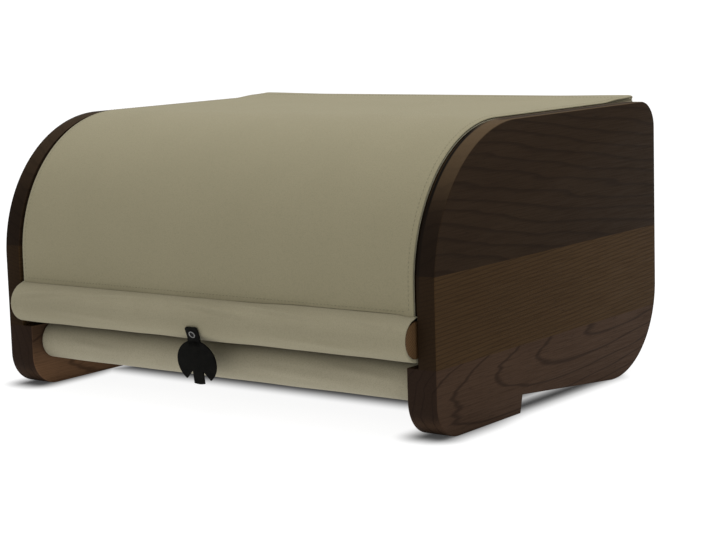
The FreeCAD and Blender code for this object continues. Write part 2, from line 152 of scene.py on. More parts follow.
def smoothStep(t):
    t = np.clip(t, 0.0, 1.0)
    return t * t * (3.0 - 2.0 * t)


def edgeRows(*more):
    # distances from a free edge that are close enough together to round it
    return np.array([0.0, 0.06, 0.15, 0.3, 0.5, *more])


def unit(vectors):
    return vectors / np.linalg.norm(vectors, axis=-1, keepdims=True)


# Reckoning with shader sockets
def newNode(tree, kind, settings=None, inputs=None):
    node = tree.nodes.new(kind)
    for key, value in (settings or {}).items():
        setattr(node, key, value)
    for key, value in (inputs or {}).items():
        if isinstance(value, wire):
            tree.links.new(value.socket, node.inputs[key])
        else:
            node.inputs[key].default_value = value
    return node


class wire:
    # an output socket that takes + - * /, each sign making a Math node
    def __init__(self, socket):
        self.socket, self.tree = socket, socket.id_data

    def reckon(self, operation, other=0.0, swapped=False):
        pair = {0: other, 1: self} if swapped else {0: self, 1: other}
        return wire(newNode(self.tree, "ShaderNodeMath", {"operation": operation}, pair).outputs[0])

    def __add__(self, other):
        return self.reckon("ADD", other)

    def __sub__(self, other):
        return self.reckon("SUBTRACT", other)

    def __rsub__(self, other):
        return self.reckon("SUBTRACT", other, True)

    def __mul__(self, other):
        return self.reckon("MULTIPLY", other)

    def __truediv__(self, other):
        return self.reckon("DIVIDE", other)

    def __abs__(self):
        return self.reckon("ABSOLUTE")


def wiresOf(node):
    return [wire(socket) for socket in node.outputs]


def join(value, socket):
    value.tree.links.new(value.socket, socket)


def parts(vector):
    return wiresOf(newNode(vector.tree, "ShaderNodeSeparateXYZ", inputs={0: vector}))


def reckonVector(operation, first, second):
    return wire(newNode(first.tree, "ShaderNodeVectorMath", {"operation": operation}, {0: first, 1: second}).outputs[0])


def stretch(vector, x, y, z):
    return reckonVector("MULTIPLY", vector, (x, y, z))


def rotated(vector, turn):
    return wire(newNode(vector.tree, "ShaderNodeMapping", inputs={"Vector": vector, "Rotation": turn}).outputs[0])


def noise(vector, scale, detail=3.0, roughness=0.5):
    inputs = {"Vector": vector, "Scale": scale, "Detail": detail, "Roughness": roughness}
    return wire(newNode(vector.tree, "ShaderNodeTexNoise", inputs=inputs).outputs[0])


def spread(value, low, high, toLow=0.0, toHigh=1.0, smooth=True):
    # low..high becomes toLow..toHigh, clamped at both ends
    node = newNode(value.tree, "ShaderNodeMapRange", {"interpolation_type": "SMOOTHSTEP" if smooth else "LINEAR"},
                   {"Value": value, "From Min": low, "From Max": high, "To Min": toLow, "To Max": toHigh})
    return wire(node.outputs[0])


def blendColour(factor, first, second, how="MIX"):
    tree = next(value.tree for value in (factor, first) if isinstance(value, wire))
    first, second = [value if isinstance(value, wire) else (*value, 1.0) for value in (first, second)]
    node = newNode(tree, "ShaderNodeMix", {"data_type": "RGBA", "blend_type": how}, {0: factor, 6: first, 7: second})
    return wire(node.outputs[2])


def newGroup(name, inputs, outputs):
    group = bpy.data.node_groups.new(name, "ShaderNodeTree")
    for socketName, value in inputs.items():
        kind = "NodeSocketVector" if isinstance(value, tuple) else "NodeSocketFloat"
        group.interface.new_socket(name=socketName, in_out="INPUT", socket_type=kind).default_value = value
    for socketName in outputs:
        group.interface.new_socket(name=socketName, in_out="OUTPUT", socket_type="NodeSocketFloat")
    given = {socket.name: wire(socket) for socket in group.nodes.new("NodeGroupInput").outputs}
    return group, given, group.nodes.new("NodeGroupOutput").inputs


# Growth rings about a pith line that runs along Y, cut by whatever surface the board has:
# ring = fraction of (distance from the pith line, shaken by slow noise, over the ring's width)
# each noise: its scale along the board over that across it (below one draws it out), scale, detail and roughness
grainLook = {
    "shake": (0.28, None, 2.0, 0.45), "jitter": (0.06, 90.0, 2.0, 0.5), "fibre": (0.018, 1300.0, 3.0, 0.6),
    "pore": (0.035, 2300.0, 2.0, 0.5), "patch": (0.35, 14.0, 3.0, 0.55),
    "jitterDepth": 0.9, "ringFull": 0.90, "ringFall": 0.91, "poreRange": (0.60, 0.70),
}
grainGroup, given, out = newGroup("plankGrain", {
    "Place": (0.0, 0.0, 0.0), "Pith X": 0.25, "Pith Z": 0.02, "Lean X": 0.0, "Lean Z": 0.0,
    "Ring Width": 0.004, "Warp": 0.004, "Warp Scale": 9.0, "Line Start": 0.5, "Seed": 0.0,
}, ["Ring", "Fibre", "Pores", "Patch"])
x, y, z = parts(given["Place"])
seedPush = wire(newNode(grainGroup, "ShaderNodeCombineXYZ", inputs={0: given["Seed"], 2: given["Seed"]}).outputs[0])
seeded = reckonVector("ADD", given["Place"], seedPush)


def grainNoise(kind):
    along, scale, detail, roughness = grainLook[kind]
    return noise(stretch(seeded, 1.0, along, 1.0), scale or given["Warp Scale"], detail, roughness)


shake = grainNoise("shake") - 0.5
acrossX = abs(x) - (given["Pith X"] + y * given["Lean X"])
acrossZ = z - (given["Pith Z"] + y * given["Lean Z"])
away = (acrossX * acrossX + acrossZ * acrossZ).reckon("SQRT") + shake * given["Warp"]
jitter = grainNoise("jitter") * grainLook["jitterDepth"]
phase = (away / given["Ring Width"] + jitter).reckon("FRACT")
rising = spread(phase, given["Line Start"], grainLook["ringFull"])
join(rising * spread(phase, grainLook["ringFall"], 1.0, 1.0, 0.0), out["Ring"])
join(grainNoise("fibre"), out["Fibre"])
join(spread(grainNoise("pore"), *grainLook["poreRange"]), out["Pores"])
join(grainNoise("patch"), out["Patch"])

# Canvas: crossed threads with a slub here and there, over a soft felt of fine noise
# each noise: its scale, detail and roughness; the felt's scale comes from the cloth
weaveLook = {"felt": (4.0, 0.6), "patch": (22.0, 4.0, 0.55), "slub": (160.0, 2.0, 0.4), "slubAcross": 9.0,
             "slubRange": (0.56, 0.74)}
weaveGroup, given, out = newGroup("canvasWeave", {
    "Place": (0.0, 0.0, 0.0), "Flat Place": (0.0, 0.0, 0.0), "Thread Pitch": 0.0006, "Felt Scale": 1500.0,
}, ["Threads", "Felt", "Patch", "Slub"])
acrossWarp, acrossWeft, _ = parts(given["Flat Place"])
turns = given["Thread Pitch"].reckon("DIVIDE", 2.0 * math.pi, True)
join(spread((acrossWarp * turns).reckon("SINE") * (acrossWeft * turns).reckon("SINE"), -1.0, 1.0), out["Threads"])
join(noise(given["Place"], given["Felt Scale"], *weaveLook["felt"]), out["Felt"])
join(noise(given["Place"], *weaveLook["patch"]), out["Patch"])
slubNoise = noise(stretch(given["Flat Place"], 1.0, weaveLook["slubAcross"], 1.0), *weaveLook["slub"])
join(spread(slubNoise, *weaveLook["slubRange"]), out["Slub"])


# Materials
def newMaterial(name, look):
    # the material, the sockets of its Principled shader and the places to read from
    material = bpy.data.materials.new(name)
    material.use_nodes = True
    tree = material.node_tree
    tree.nodes.clear()
    inputs = {"Roughness": look["roughness"], "Specular IOR Level": look["specular"]}
    shader = newNode(tree, "ShaderNodeBsdfPrincipled", None, inputs)
    tree.links.new(shader.outputs[0], newNode(tree, "ShaderNodeOutputMaterial").inputs[0])
    place = {socket.name: wire(socket) for socket in newNode(tree, "ShaderNodeTexCoord").outputs}
    return material, shader.inputs, place


def placeGroup(group, inputs):
    tree = inputs["Place"].tree
    return wiresOf(newNode(tree, "ShaderNodeGroup", {"node_tree": group}, inputs))


noiseRange = (0.3, 0.7)      # where nearly all of a noise's values lie


def setRoughness(shader, value, look):
    # smoother and rougher by turns, round the material's own roughness
    low, high = look["roughSwing"]
    join(spread(value, *noiseRange, look["roughness"] - low, look["roughness"] + high), shader["Roughness"])


def addBump(shader, height, look):
    inputs = {"Height": height, "Strength": look["bump"], "Distance": look["bumpReach"]}
    join(wire(newNode(height.tree, "ShaderNodeBump", None, inputs).outputs[0]), shader["Normal"])


# Where the wood is stained and where light and shade are painted on it, by the way the surface faces and by its place
# in metres:
# the cut ends soak up more dye and come out darker, and the upward faces of the curve get a painted highlight, on the
# right side most the right flange's corner along the cover gets painted shade for the gap beside the cloth, fading out
# above the rolls and at the top the foot's inner face gets painted light for the bounce off the floor, strongest near
# the floor
stainAndPaintedLightLook = {
    "fibre": (0.42, 0.66), "endGrain": (0.75, 0.97),
    "slope": (0.45, 0.98), "level": (0.991, 0.9995, 1.0, 0.1), "highlightSide": (-0.15, 0.15, 0.22, 1.0),
    "cornerStart": (0.1851, 0.1854), "cornerEnd": (0.1872, 0.1884, 1.0, 0.0), "cornerLow": (0.080, 0.125),
    "cornerTop": (0.198, 0.2058, 1.0, 0.2), "cornerRear": (-0.03, 0.01), "gapShade": (0.003, 0.0025, 0.002),
    "innerFace": (0.1762, 0.1770, 1.0, 0.0), "innerHeight": (0.008, 0.040, 1.0, 0.12), "bounceLight": (2.8, 2.6, 2.2),
}


def woodMaterial(name, look):
    # stained wood: the rings darken it, fine fibres streak it, and pores lie in the light part of each ring
    material, shader, place = newMaterial(name, look)
    wear = stainAndPaintedLightLook
    turned = rotated(place["Object"], look["turn"])
    ring, fibre, pores, patch = placeGroup(grainGroup, {"Place": turned, **look["grain"]})
    base = blendColour(spread(patch, *noiseRange), look["light"], look["warm"])
    ringed = blendColour(ring * look["ringDepth"], base, look["dark"])
    fibred = blendColour(spread(fibre, *wear["fibre"]) * look["fibreDepth"], ringed, look["dark"])
    poreMask = pores * (1.0 - ring)
    pored = blendColour(poreMask * look["poreDepth"], fibred, look["pore"])
    _, facingAlong, facingUp = parts(rotated(place["Normal"], look["turn"]))
    x, y, z = parts(place["Object"])
    # painted highlight: upward faces of the curve are made lighter, on the right side most
    upward = spread(facingUp, *wear["slope"], smooth=False) * spread(facingUp, *wear["level"])
    highlightMask = upward * spread(x, *wear["highlightSide"])
    paintedHighlight = blendColour(highlightMask * look["highlightDepth"], pored, look["paintedHighlight"])
    # painted shade: the right flange's corner beside the cover is darkened for the shadowed gap next to the cloth
    corner = spread(x, *wear["cornerStart"]) * spread(x, *wear["cornerEnd"])
    curved = spread(z, *wear["cornerLow"]) * spread(z, *wear["cornerTop"])
    gapShaded = blendColour(corner * curved * spread(y, *wear["cornerRear"], look["gapShadeDepth"], 0.0), paintedHighlight, wear["gapShade"])
    # painted light: the foot's inner face is made lighter for the floor's bounce, strongest near the floor
    inner = spread(abs(x), *wear["innerFace"]) * spread(z, *wear["innerHeight"]) * look["bounceLightDepth"]
    bounceLit = blendColour(inner, gapShaded, blendColour(1.0, gapShaded, wear["bounceLight"], "MULTIPLY"))
    cutAcross = spread(abs(facingAlong), *wear["endGrain"])
    join(blendColour(cutAcross * look["endDepth"], bounceLit, look["pore"]), shader["Base Color"])
    setRoughness(shader, fibre, look)
    addBump(shader, fibre * look["fibreHeight"] - poreMask * look["poreHeight"], look)
    return material


def grainOf(pith, leans, ringWidth, warp, warpScale, lineStart, seed):
    names = ("Pith X", "Pith Z", "Lean X", "Lean Z", "Ring Width", "Warp", "Warp Scale", "Line Start", "Seed")
    return dict(zip(names, (*pith, *leans, ringWidth, warp, warpScale, lineStart, seed)))


quarterTurn = (0.0, 0.0, math.radians(90.0))
woodBase = {
    "turn": (0.0, 0.0, 0.0), "roughness": 0.62, "roughSwing": (0.07, 0.08), "specular": 0.02, "ringDepth": 0.7,
    "fibreDepth": 0.30, "poreDepth": 0.45, "endDepth": 0.72, "highlightDepth": 0.0, "paintedHighlight": (0.100, 0.066, 0.035),
    "gapShadeDepth": 0.0, "bounceLightDepth": 0.0, "fibreHeight": 0.5, "poreHeight": 0.8, "bump": 0.30, "bumpReach": 0.0002,
}
woodLooks = {
    "Low": {"light": (0.056, 0.0330, 0.0205), "warm": (0.046, 0.0266, 0.0165), "dark": (0.0185, 0.0108, 0.0072),
            "pore": (0.013, 0.008, 0.006), "ringDepth": 0.68, "bounceLightDepth": 1.0,
            "grain": grainOf((0.238, 0.040), (-0.115, 0.187), 0.0070, 0.012, 14.0, 0.78, 1.7)},
    "Middle": {"light": (0.057, 0.0328, 0.0142), "warm": (0.048, 0.0274, 0.0120), "dark": (0.0215, 0.0122, 0.0066),
               "pore": (0.013, 0.008, 0.005), "ringDepth": 0.60, "gapShadeDepth": 0.97,
               "grain": grainOf((0.30, -0.30), (0.0, 0.05), 0.0029, 0.010, 9.0, 0.60, 4.1)},
    "High": {"light": (0.0285, 0.0175, 0.0100), "warm": (0.0236, 0.0144, 0.0083), "dark": (0.0130, 0.0080, 0.0052),
             "pore": (0.010, 0.0065, 0.0045), "ringDepth": 0.55, "highlightDepth": 0.74, "gapShadeDepth": 0.97,
             "grain": grainOf((0.255, 0.010), (0.0, -0.13), 0.0088, 0.019, 17.0, 0.60, 8.3)},
    "Cross": {"light": (0.058, 0.0345, 0.0190), "warm": (0.046, 0.0275, 0.0160), "dark": (0.024, 0.0140, 0.0085),
              "pore": (0.012, 0.007, 0.005), "ringDepth": 0.5, "turn": quarterTurn,
              "grain": grainOf((0.0, 0.30), (0.03, 0.05), 0.0066, 0.022, 7.0, 0.62, 2.9)},
    "Dowel": {"light": (0.165, 0.092, 0.039), "warm": (0.135, 0.073, 0.031), "dark": (0.060, 0.032, 0.014),
              "pore": (0.035, 0.019, 0.009), "specular": 0.12, "endDepth": 0.2, "turn": quarterTurn,
              "grain": grainOf((0.165, 0.09), (0.0, 0.0), 0.0016, 0.002, 20.0, 0.35, 6.0)},
    "Slat": {"light": (0.42, 0.29, 0.16), "warm": (0.36, 0.24, 0.13), "dark": (0.24, 0.15, 0.075),
             "pore": (0.15, 0.09, 0.05), "specular": 0.3, "endDepth": 0.2, "turn": quarterTurn,
             "grain": grainOf((0.0, 0.0), (0.01, 0.01), 0.0022, 0.006, 8.0, 0.35, 3.3)},
}
woods = {name.lower(): woodMaterial("wood" + name, {**woodBase, **look}) for name, look in woodLooks.items()}


def clothMaterial(name, look):
    # felt and threads shade the canvas, and slubs show the clean yarn
    material, shader, place = newMaterial(name, look)
    threads, felt, patch, slub = placeGroup(weaveGroup, {
        "Place": place["Object"], "Flat Place": place["UV"],
        "Thread Pitch": look["threadPitch"], "Felt Scale": look["feltScale"]})
    base = blendColour(spread(patch, *look["patchRange"]), look["light"], look["dark"])
    felted = blendColour(spread(felt, *look["feltRange"]) * look["feltDepth"], base, look["shade"])
    threaded = blendColour(threads * look["threadDepth"], felted, look["shade"])
    join(blendColour(slub * look["slubDepth"], threaded, look["light"]), shader["Base Color"])
    setRoughness(shader, felt, look)
    shader["Sheen Weight"].default_value = look["sheen"]
    shader["Sheen Roughness"].default_value = look["sheenRoughness"]
    addBump(shader, threads * look["threadHeight"] + felt, look)
    return material


coverLook = {
    "light": (0.268, 0.240, 0.151), "dark": (0.260, 0.233, 0.146), "shade": (0.170, 0.152, 0.092),
    "roughness": 0.86, "roughSwing": (0.06, 0.06), "specular": 0.18, "sheen": 0.06, "sheenRoughness": 0.6,
    "threadPitch": 0.0007, "threadDepth": 0.10, "threadHeight": 0.5, "feltScale": 1250.0, "feltRange": (0.40, 0.72),
    "feltDepth": 0.34, "patchRange": (0.3, 0.72), "slubDepth": 0.22, "bump": 0.36, "bumpReach": 0.00025,
}
clothChanges = {
    "coverCloth": {},
    "liningCloth": {"light": (0.33, 0.305, 0.215), "dark": (0.305, 0.28, 0.195), "shade": (0.22, 0.20, 0.135),
                    "threadPitch": 0.0005, "bump": 0.22},
    # painted light: the roll and rail cloths are the cover's canvas made lighter for the floor's bounce under the
    # rolls, the rail most
    "rollClothPaintedLight": {"light": (0.286, 0.258, 0.172), "dark": (0.268, 0.241, 0.159)},
    "railClothPaintedLight": {"light": (0.330, 0.300, 0.212), "dark": (0.310, 0.281, 0.198)},
    "stitchThread": {"light": (0.20, 0.18, 0.11), "dark": (0.175, 0.157, 0.094), "shade": (0.115, 0.102, 0.062),
                     "threadPitch": 0.0003, "specular": 0.3},
}
cloths = {name: clothMaterial(name, {**coverLook, **changes}) for name, changes in clothChanges.items()}

leatherLook = {
    "black": (0.0040, 0.0040, 0.0034), "worn": (0.0075, 0.0072, 0.0062), "wear": (0.35, 0.75), "roughness": 0.55,
    "roughSwing": (0.07, 0.07), "specular": 0.02, "cellScale": 1400.0, "crease": (0.0, 0.12), "mottleScale": 180.0,
    "mottleHeight": 0.6, "bump": 0.45, "bumpReach": 0.0002,
}
look = leatherLook
leatherMaterial, shader, place = newMaterial("tabLeather", look)
cells = newNode(leatherMaterial.node_tree, "ShaderNodeTexVoronoi", {"feature": "DISTANCE_TO_EDGE"},
                {"Vector": place["Object"], "Scale": look["cellScale"]})
mottle = noise(place["Object"], look["mottleScale"], 4.0)
join(blendColour(spread(mottle, *look["wear"]), look["black"], look["worn"]), shader["Base Color"])
setRoughness(shader, mottle, look)
addBump(shader, spread(wire(cells.outputs[0]), *look["crease"]) + mottle * look["mottleHeight"], look)


def metalMaterial(name, look):
    # brushed metal with small dark specks where the plating has dulled
    look = {"specular": 0.5, "roughSwing": (0.08, 0.1), "brush": 6.0, "brushScale": 900.0, "speckScale": 1500.0,
            "speckRange": (0.60, 0.75), "speckDepth": 0.5, "bump": 0.15, "bumpReach": 0.0001, **look}
    material, shader, place = newMaterial(name, look)
    shader["Metallic"].default_value = 1.0
    brushed = noise(stretch(place["Object"], 1.0, 1.0, look["brush"]), look["brushScale"])
    specks = spread(noise(place["Object"], look["speckScale"], 2.0), *look["speckRange"])
    colour = blendColour(spread(brushed, *noiseRange), look["bright"], look["dull"])
    join(blendColour(specks * look["speckDepth"], colour, look["speck"]), shader["Base Color"])
    setRoughness(shader, brushed, look)
    addBump(shader, brushed, look)
    return material


eyeletMaterial = metalMaterial("eyeletNickel", {"bright": (0.27, 0.27, 0.26), "dull": (0.13, 0.13, 0.125),
                                                "speck": (0.04, 0.04, 0.04), "roughness": 0.34})
# painted shade: the barrel is near-black metal standing for the dark inside the eyelet's hole
holeShadeMaterial = metalMaterial("eyeletHoleShade", {"bright": (0.020, 0.020, 0.020), "dull": (0.010, 0.010, 0.010),
                                                "speck": (0.004, 0.004, 0.004), "roughness": 0.6})
steelMaterial = metalMaterial("screwSteel", {"bright": (0.50, 0.50, 0.49), "dull": (0.36, 0.36, 0.36),
                                             "speck": (0.10, 0.09, 0.08), "roughness": 0.38})
print("materials made:", len(bpy.data.materials))

# Side panels
panelLook = {"edgeRound": 0.9, "flangeRound": 0.5, "roundSteps": 4, "curveSteps": 40, "toeSteps": 16, "heelSteps": 24,
             "heelTopSteps": 10, "shortSteps": 6, "backSteps": 8, "rabbetLeast": 0.5}


def asin(value):
    return math.degrees(math.asin(value))


def lineMeet(lines):
    # where neighbouring lines cross, each given as a normal and its distance from the origin
    corners = []
    for (n1, d1), (n2, d2) in zip(lines[:-1], lines[1:]):
        corners.append(np.linalg.solve(np.array([n1, n2]), np.array([d1, d2])))
    return np.array(corners)


def lowLoop(inset, inner=False):
    # the foot, the shallow arch behind it and the round heel, all moved inward by the inset
    s = boxShape
    toe = arc(s["frontY"] + s["toeRadius"], s["toeRadius"], s["toeRadius"] - inset, 180, 270, panelLook["toeSteps"])
    corners = [(s["footEnd"], 0.0), (s["stepEnd"], s["stepTop"]), (s["heelStart"], 0.0)]
    ground = ((0.0, 1.0), inset)
    lines = [ground]
    for (y1, z1), (y2, z2) in zip(corners[:-1], corners[1:]):
        length = math.hypot(y2 - y1, z2 - z1)
        normal = (-(z2 - z1) / length, (y2 - y1) / length)
        lines.append((normal, normal[0] * y1 + normal[1] * z1 + inset))
    lines.append(ground)
    heelR = s["heelRadius"] - inset
    heel = arc(s["rearY"] - s["heelRadius"], s["heelRadius"], heelR, -90,
               asin((s["lowJoint"] - s["heelRadius"]) / heelR), panelLook["heelSteps"])
    return np.concatenate([[(s["frontY"] + inset, s["lowJoint"])], toe, lineMeet(lines), heel])


def frontCurve(inset, inner, low, high, steps):
    # the round front between two heights: the outer edge, or the rabbet's floor
    s = boxShape
    if inner:
        y, z, radius = s["axisY"], s["axisZ"], s["floorRadius"] - inset
    else:
        y, z, radius = s["frontY"] + s["frontRadius"], s["topZ"] - s["frontRadius"], s["frontRadius"] - inset
    first, last = [180 - asin(min(1.0, max(0.0, height - z) / radius)) for height in (low, high)]
    return arc(y, z, radius, first, last, steps)


def middleLoop(inset, inner):
    s = boxShape
    top, bottom = s["highJoint"], s["lowJoint"]
    front = (s["axisY"] - s["floorRadius"] if inner else s["frontY"]) + inset
    pocket = (s["pocketY"] if inner else s["frontY"]) + inset
    foot = [(pocket, bottom), (pocket, s["pocketTop"]), (front, s["pocketTop"])]
    curve = frontCurve(inset, inner, 0.0, top, panelLook["shortSteps"])
    heelR = s["heelRadius"] - inset
    heel = arc(s["rearY"] - s["heelRadius"], s["heelRadius"], heelR, 0,
               asin((bottom - s["heelRadius"]) / heelR), panelLook["heelTopSteps"])
    return np.concatenate([foot, curve, [(s["rearY"] - inset, top)], heel])


def highLoop(inset, inner):
    s, look = boxShape, panelLook
    backY, backZ, backR = s["rearY"] - s["backRadius"], s["topZ"] - s["backRadius"], s["backRadius"] - inset
    cutAngle = asin(min(1.0, (s["axisZ"] + s["floorRadius"] - inset - backZ) / backR))
    curve = frontCurve(inset, inner, s["highJoint"], math.inf, look["curveSteps"])
    corner = arc(backY, backZ, backR, cutAngle if inner else 90, cutAngle, look["shortSteps"])
    rest = arc(backY, backZ, backR, cutAngle, 0, look["backSteps"])[1:]
    return np.concatenate([curve, corner, rest, [(s["rearY"] - inset, s["highJoint"])]])


def boardRings(makeLoop, rabbet):
    # the outline at a run of depths x, drawn in by a quarter circle at both faces
    s, look = boxShape, panelLook
    edge = roundOff(look["edgeRound"], look["roundSteps"])
    rings = [(s["outerFace"] - depth, makeLoop(inset, False)) for depth, inset in edge]
    if rabbet:
        outline, core = makeLoop(0.0, False), makeLoop(0.0, True)
        apart = (np.linalg.norm(outline - core, axis=1) > look["rabbetLeast"])[:, None]
        for depth, inset in roundOff(look["flangeRound"], look["roundSteps"])[::-1]:
            rings.append((s["flangeFace"] + depth, np.where(apart, makeLoop(inset, False), outline)))
        rings.append((s["flangeFace"], core))
    rings += [(s["innerFace"] + depth, makeLoop(inset, rabbet)) for depth, inset in edge[::-1]]
    return np.array([np.column_stack([np.full(len(loop), x), loop]) for x, loop in rings])


for side, sign in (("right", 1.0), ("left", -1.0)):
    for level, makeLoop in (("low", lowLoop), ("middle", middleLoop), ("high", highLoop)):
        points, faces, caps = loft(boardRings(makeLoop, level != "low") * (sign, 1.0, 1.0))
        board = makePiece(f"{side}_panel_{level}", points, faces, woods[level], caps)
        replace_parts(board, f"{side}_board_{level}")
        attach(board, "carcass")
print("side panels made")

# Cross boards: a rounded rectangle in (y, z) at a run of depths x
crossLook = {"edgeRound": 0.8, "least": 1e-3}
cornerPlaces = np.array([(0, 0), (1, 0), (1, 1), (0, 1)])
cornerTurns = np.radians(np.array([[0, 30, 60, 90]]) + np.array([[180], [270], [0], [90]]))
for name in ("bottom_board", "back_board", "top_board"):
    low, high = [np.array(corner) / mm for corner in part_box(name)]
    edge = roundOff(crossLook["edgeRound"])
    centre = low[1:] + crossLook["edgeRound"] + cornerPlaces * (high[1:] - low[1:] - 2 * crossLook["edgeRound"])
    levels = [(high[0] - depth, inset) for depth, inset in edge]
    levels += [(low[0] + depth, inset) for depth, inset in edge[::-1]]
    rings = []
    for x, inset in levels:
        reach = max(crossLook["edgeRound"] - inset, crossLook["least"])
        loopY, loopZ = centre[:, :1] + reach * np.cos(cornerTurns), centre[:, 1:] + reach * np.sin(cornerTurns)
        rings.append(np.column_stack([np.full(loopY.size, x), loopY.ravel(), loopZ.ravel()]))
    points, faces, caps = loft(rings)
    board = makePiece(name + "_planed", points, faces, woods["cross"], caps)
    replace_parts(board, name)
    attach(board, "carcass")
print("cross boards made")

# The cover's cloth
clothLook = {
    "outerRadius": 105.7, "innerRadius": 104.6, "liningOuter": 103.1, "liningInner": 102.1,
    "edgeRound": 0.5, "edgeLeast": 0.02, "edgeLift": 0.70, "edgeDroop": -0.55, "liftWidth": 2.6, "columns": 64,
    "bendWidth": 4.0, "bendRows": 15, "flatRows": 7, "flatEnd": -8.0, "lastSeam": 6.0, "blendReach": (3.2, 3.2),
    "lastBlend": (2.2, 0.2), "hemLap": 0.7, "lapWidth": 5.0, "hemRise": 1.3, "riseStart": (45.0, 85.0),
    "riseEnd": (168.0, 180.0),
}


def coverPoint(s, radius):
    # s runs forward over the top, round the curve and down to the crease, zero at the first hinge
    turn = np.clip(s, 0.0, curveLength) / hingeRadius
    y = boxShape["axisY"] - radius * np.sin(turn) + np.maximum(-s, 0.0)
    z = boxShape["axisZ"] + radius * np.cos(turn) - np.maximum(s - curveLength, 0.0)
    return y, z


def coverColumns():
    # even columns with a few close ones at each edge, where the cloth's edge is rounded
    near = clothEdge - edgeRows(1.5, 3.0, 5.0)
    middle = np.linspace(-near[-1], near[-1], clothLook["columns"])
    return np.concatenate([-near[:-1], middle, near[:-1][::-1]])


def edgeThin(distance):
    # how much of the thickness is left at a distance from a free edge: a quarter circle
    t = np.clip(distance / clothLook["edgeRound"], 0.0, 1.0)
    return np.sqrt(np.maximum(1.0 - (1.0 - t) ** 2, clothLook["edgeLeast"]))


def edgeLift(x, lift):
    # the cloth's side edges curl up, or down where the lift is negative
    return lift * smoothStep(1.0 - (clothEdge - np.abs(x)) / clothLook["liftWidth"])


def hemRise(x):
    # the crease isn't quite straight: it rises over the right part and falls back at the corner
    rise = [smoothStep((x - start) / (end - start)) for start, end in (clothLook["riseStart"], clothLook["riseEnd"])]
    return clothLook["hemRise"] * rise[0] * (1.0 - rise[1])


def clothPiece(name, grids, xGrid, sGrid, material, closed=False):
    # the grids are its outer and inner face, and (x, s) its flat place
    points, faces = shell(*grids, closed)
    uv = np.concatenate([np.stack([xGrid, sGrid], -1).reshape(-1, 2)] * 2)
    return makePiece(name, points, faces, material, uv=uv)


def coverSheet(name, s, outerRadius, innerRadius, lift, material, endFree):
    # a strip of the cover between two values of s, as a closed thin shell
    sGrid, xGrid = np.meshgrid(s, coverColumns(), indexing="ij")
    middle = (outerRadius + innerRadius) / 2 + edgeLift(xGrid, lift)
    half = (outerRadius - innerRadius) / 2 * edgeThin(clothEdge - np.abs(xGrid))
    if endFree:
        # the hem laps onto the roll
        width = clothLook["lapWidth"]
        half = half * edgeThin(s.max() - sGrid)
        sGrid = sGrid + (clothLook["hemLap"] - hemRise(xGrid)) * smoothStep((sGrid - s.max() + width) / width)
    grids = [np.stack([xGrid, *coverPoint(sGrid, radius)], -1) for radius in (middle + half, middle - half)]
    return clothPiece(name, grids, xGrid, sGrid, material)


def stripRows(start, end, hinge):
    # rows close together about the hinge line, wider apart elsewhere
    width, rows = clothLook["bendWidth"], clothLook["flatRows"]
    s = np.concatenate([np.linspace(start, hinge - width, rows)[:-1],
                        hinge + np.linspace(-width, width, clothLook["bendRows"]),
                        np.linspace(hinge + width, end, rows)[1:]])
    return np.unique(np.clip(s, start, end))


# Stitches: short rounded pieces of thread, each a tube that sinks into the cloth at both ends
stitchLook = {"pitch": 3.1, "length": 2.3, "radius": 0.24, "sink": 0.22, "fromEdge": 3.4, "aboveCrease": 2.8,
              "rings": 7, "sides": 6, "endLeast": 0.03, "proud": 0.02, "endGap": 4.0, "rowStart": 3.0, "rowEnd": 2.0,
              "slopeStep": 0.05}


def stitchPiece(name, centres, along, outward):
    # the same tube is placed on each centre, with its axes along the seam and out of the cloth
    look = stitchLook
    rings, sides = look["rings"], look["sides"]
    t = np.linspace(-1.0, 1.0, rings)[:, None]
    around = np.radians(np.arange(sides) * 360 / sides)
    swell = np.sqrt(np.maximum(1.0 - np.abs(t) ** 3, look["endLeast"])) * look["radius"]
    tube = [t * look["length"] / 2, swell * np.cos(around) - look["sink"] * t ** 2, swell * np.sin(around)]
    axes = (along, outward, np.cross(along, outward))
    points = centres[:, None, None] + sum(axis[:, None, None] * part[..., None] for axis, part in zip(axes, tube))
    each = rings * sides
    starts = np.arange(len(centres))[:, None] * each
    faces = (gridFaces(rings, sides, closed=True) + starts[:, None]).reshape(-1, 4)
    caps = np.concatenate([starts + np.arange(sides)[::-1], starts + each - sides + np.arange(sides)])
    return makePiece(name, points, faces, cloths["stitchThread"], caps)


def stitchesOn(name, rows):
    # rows: a list of (s, x, whether the stitch runs along X), lying on the outer cloth
    s, x, crossing = [np.array(column, float) for column in zip(*rows)]
    radius = clothLook["outerRadius"] + stitchLook["proud"]
    place, above, ahead = [np.stack([x, *coverPoint(s + step, radius + rise)], -1)
                           for step, rise in ((0.0, 0.0), (0.0, 1.0), (stitchLook["slopeStep"], 0.0))]
    along = np.where(crossing[:, None] > 0.5, np.array([[1.0, 0.0, 0.0]]), unit(ahead - place))
    return stitchPiece(name, place, along, above - place)


seams = [clothLook["flatEnd"]] + [(hingeAt[n] + hingeAt[n + 1]) / 2 for n in range(8)]
seams += [hingeAt[8] + clothLook["lastSeam"], creaseAt]
sideX = clothEdge - stitchLook["fromEdge"]
firstStitch = clothLook["flatEnd"] + stitchLook["pitch"] / 2
sideStitches = np.arange(firstStitch, creaseAt - stitchLook["endGap"], stitchLook["pitch"])
crossStitches = np.arange(-sideX + stitchLook["rowStart"], sideX - stitchLook["rowEnd"], stitchLook["pitch"])
layerKeys = {"cover": ("outerRadius", "innerRadius", "edgeDroop"), "lining": ("liningOuter", "liningInner", "edgeLift")}

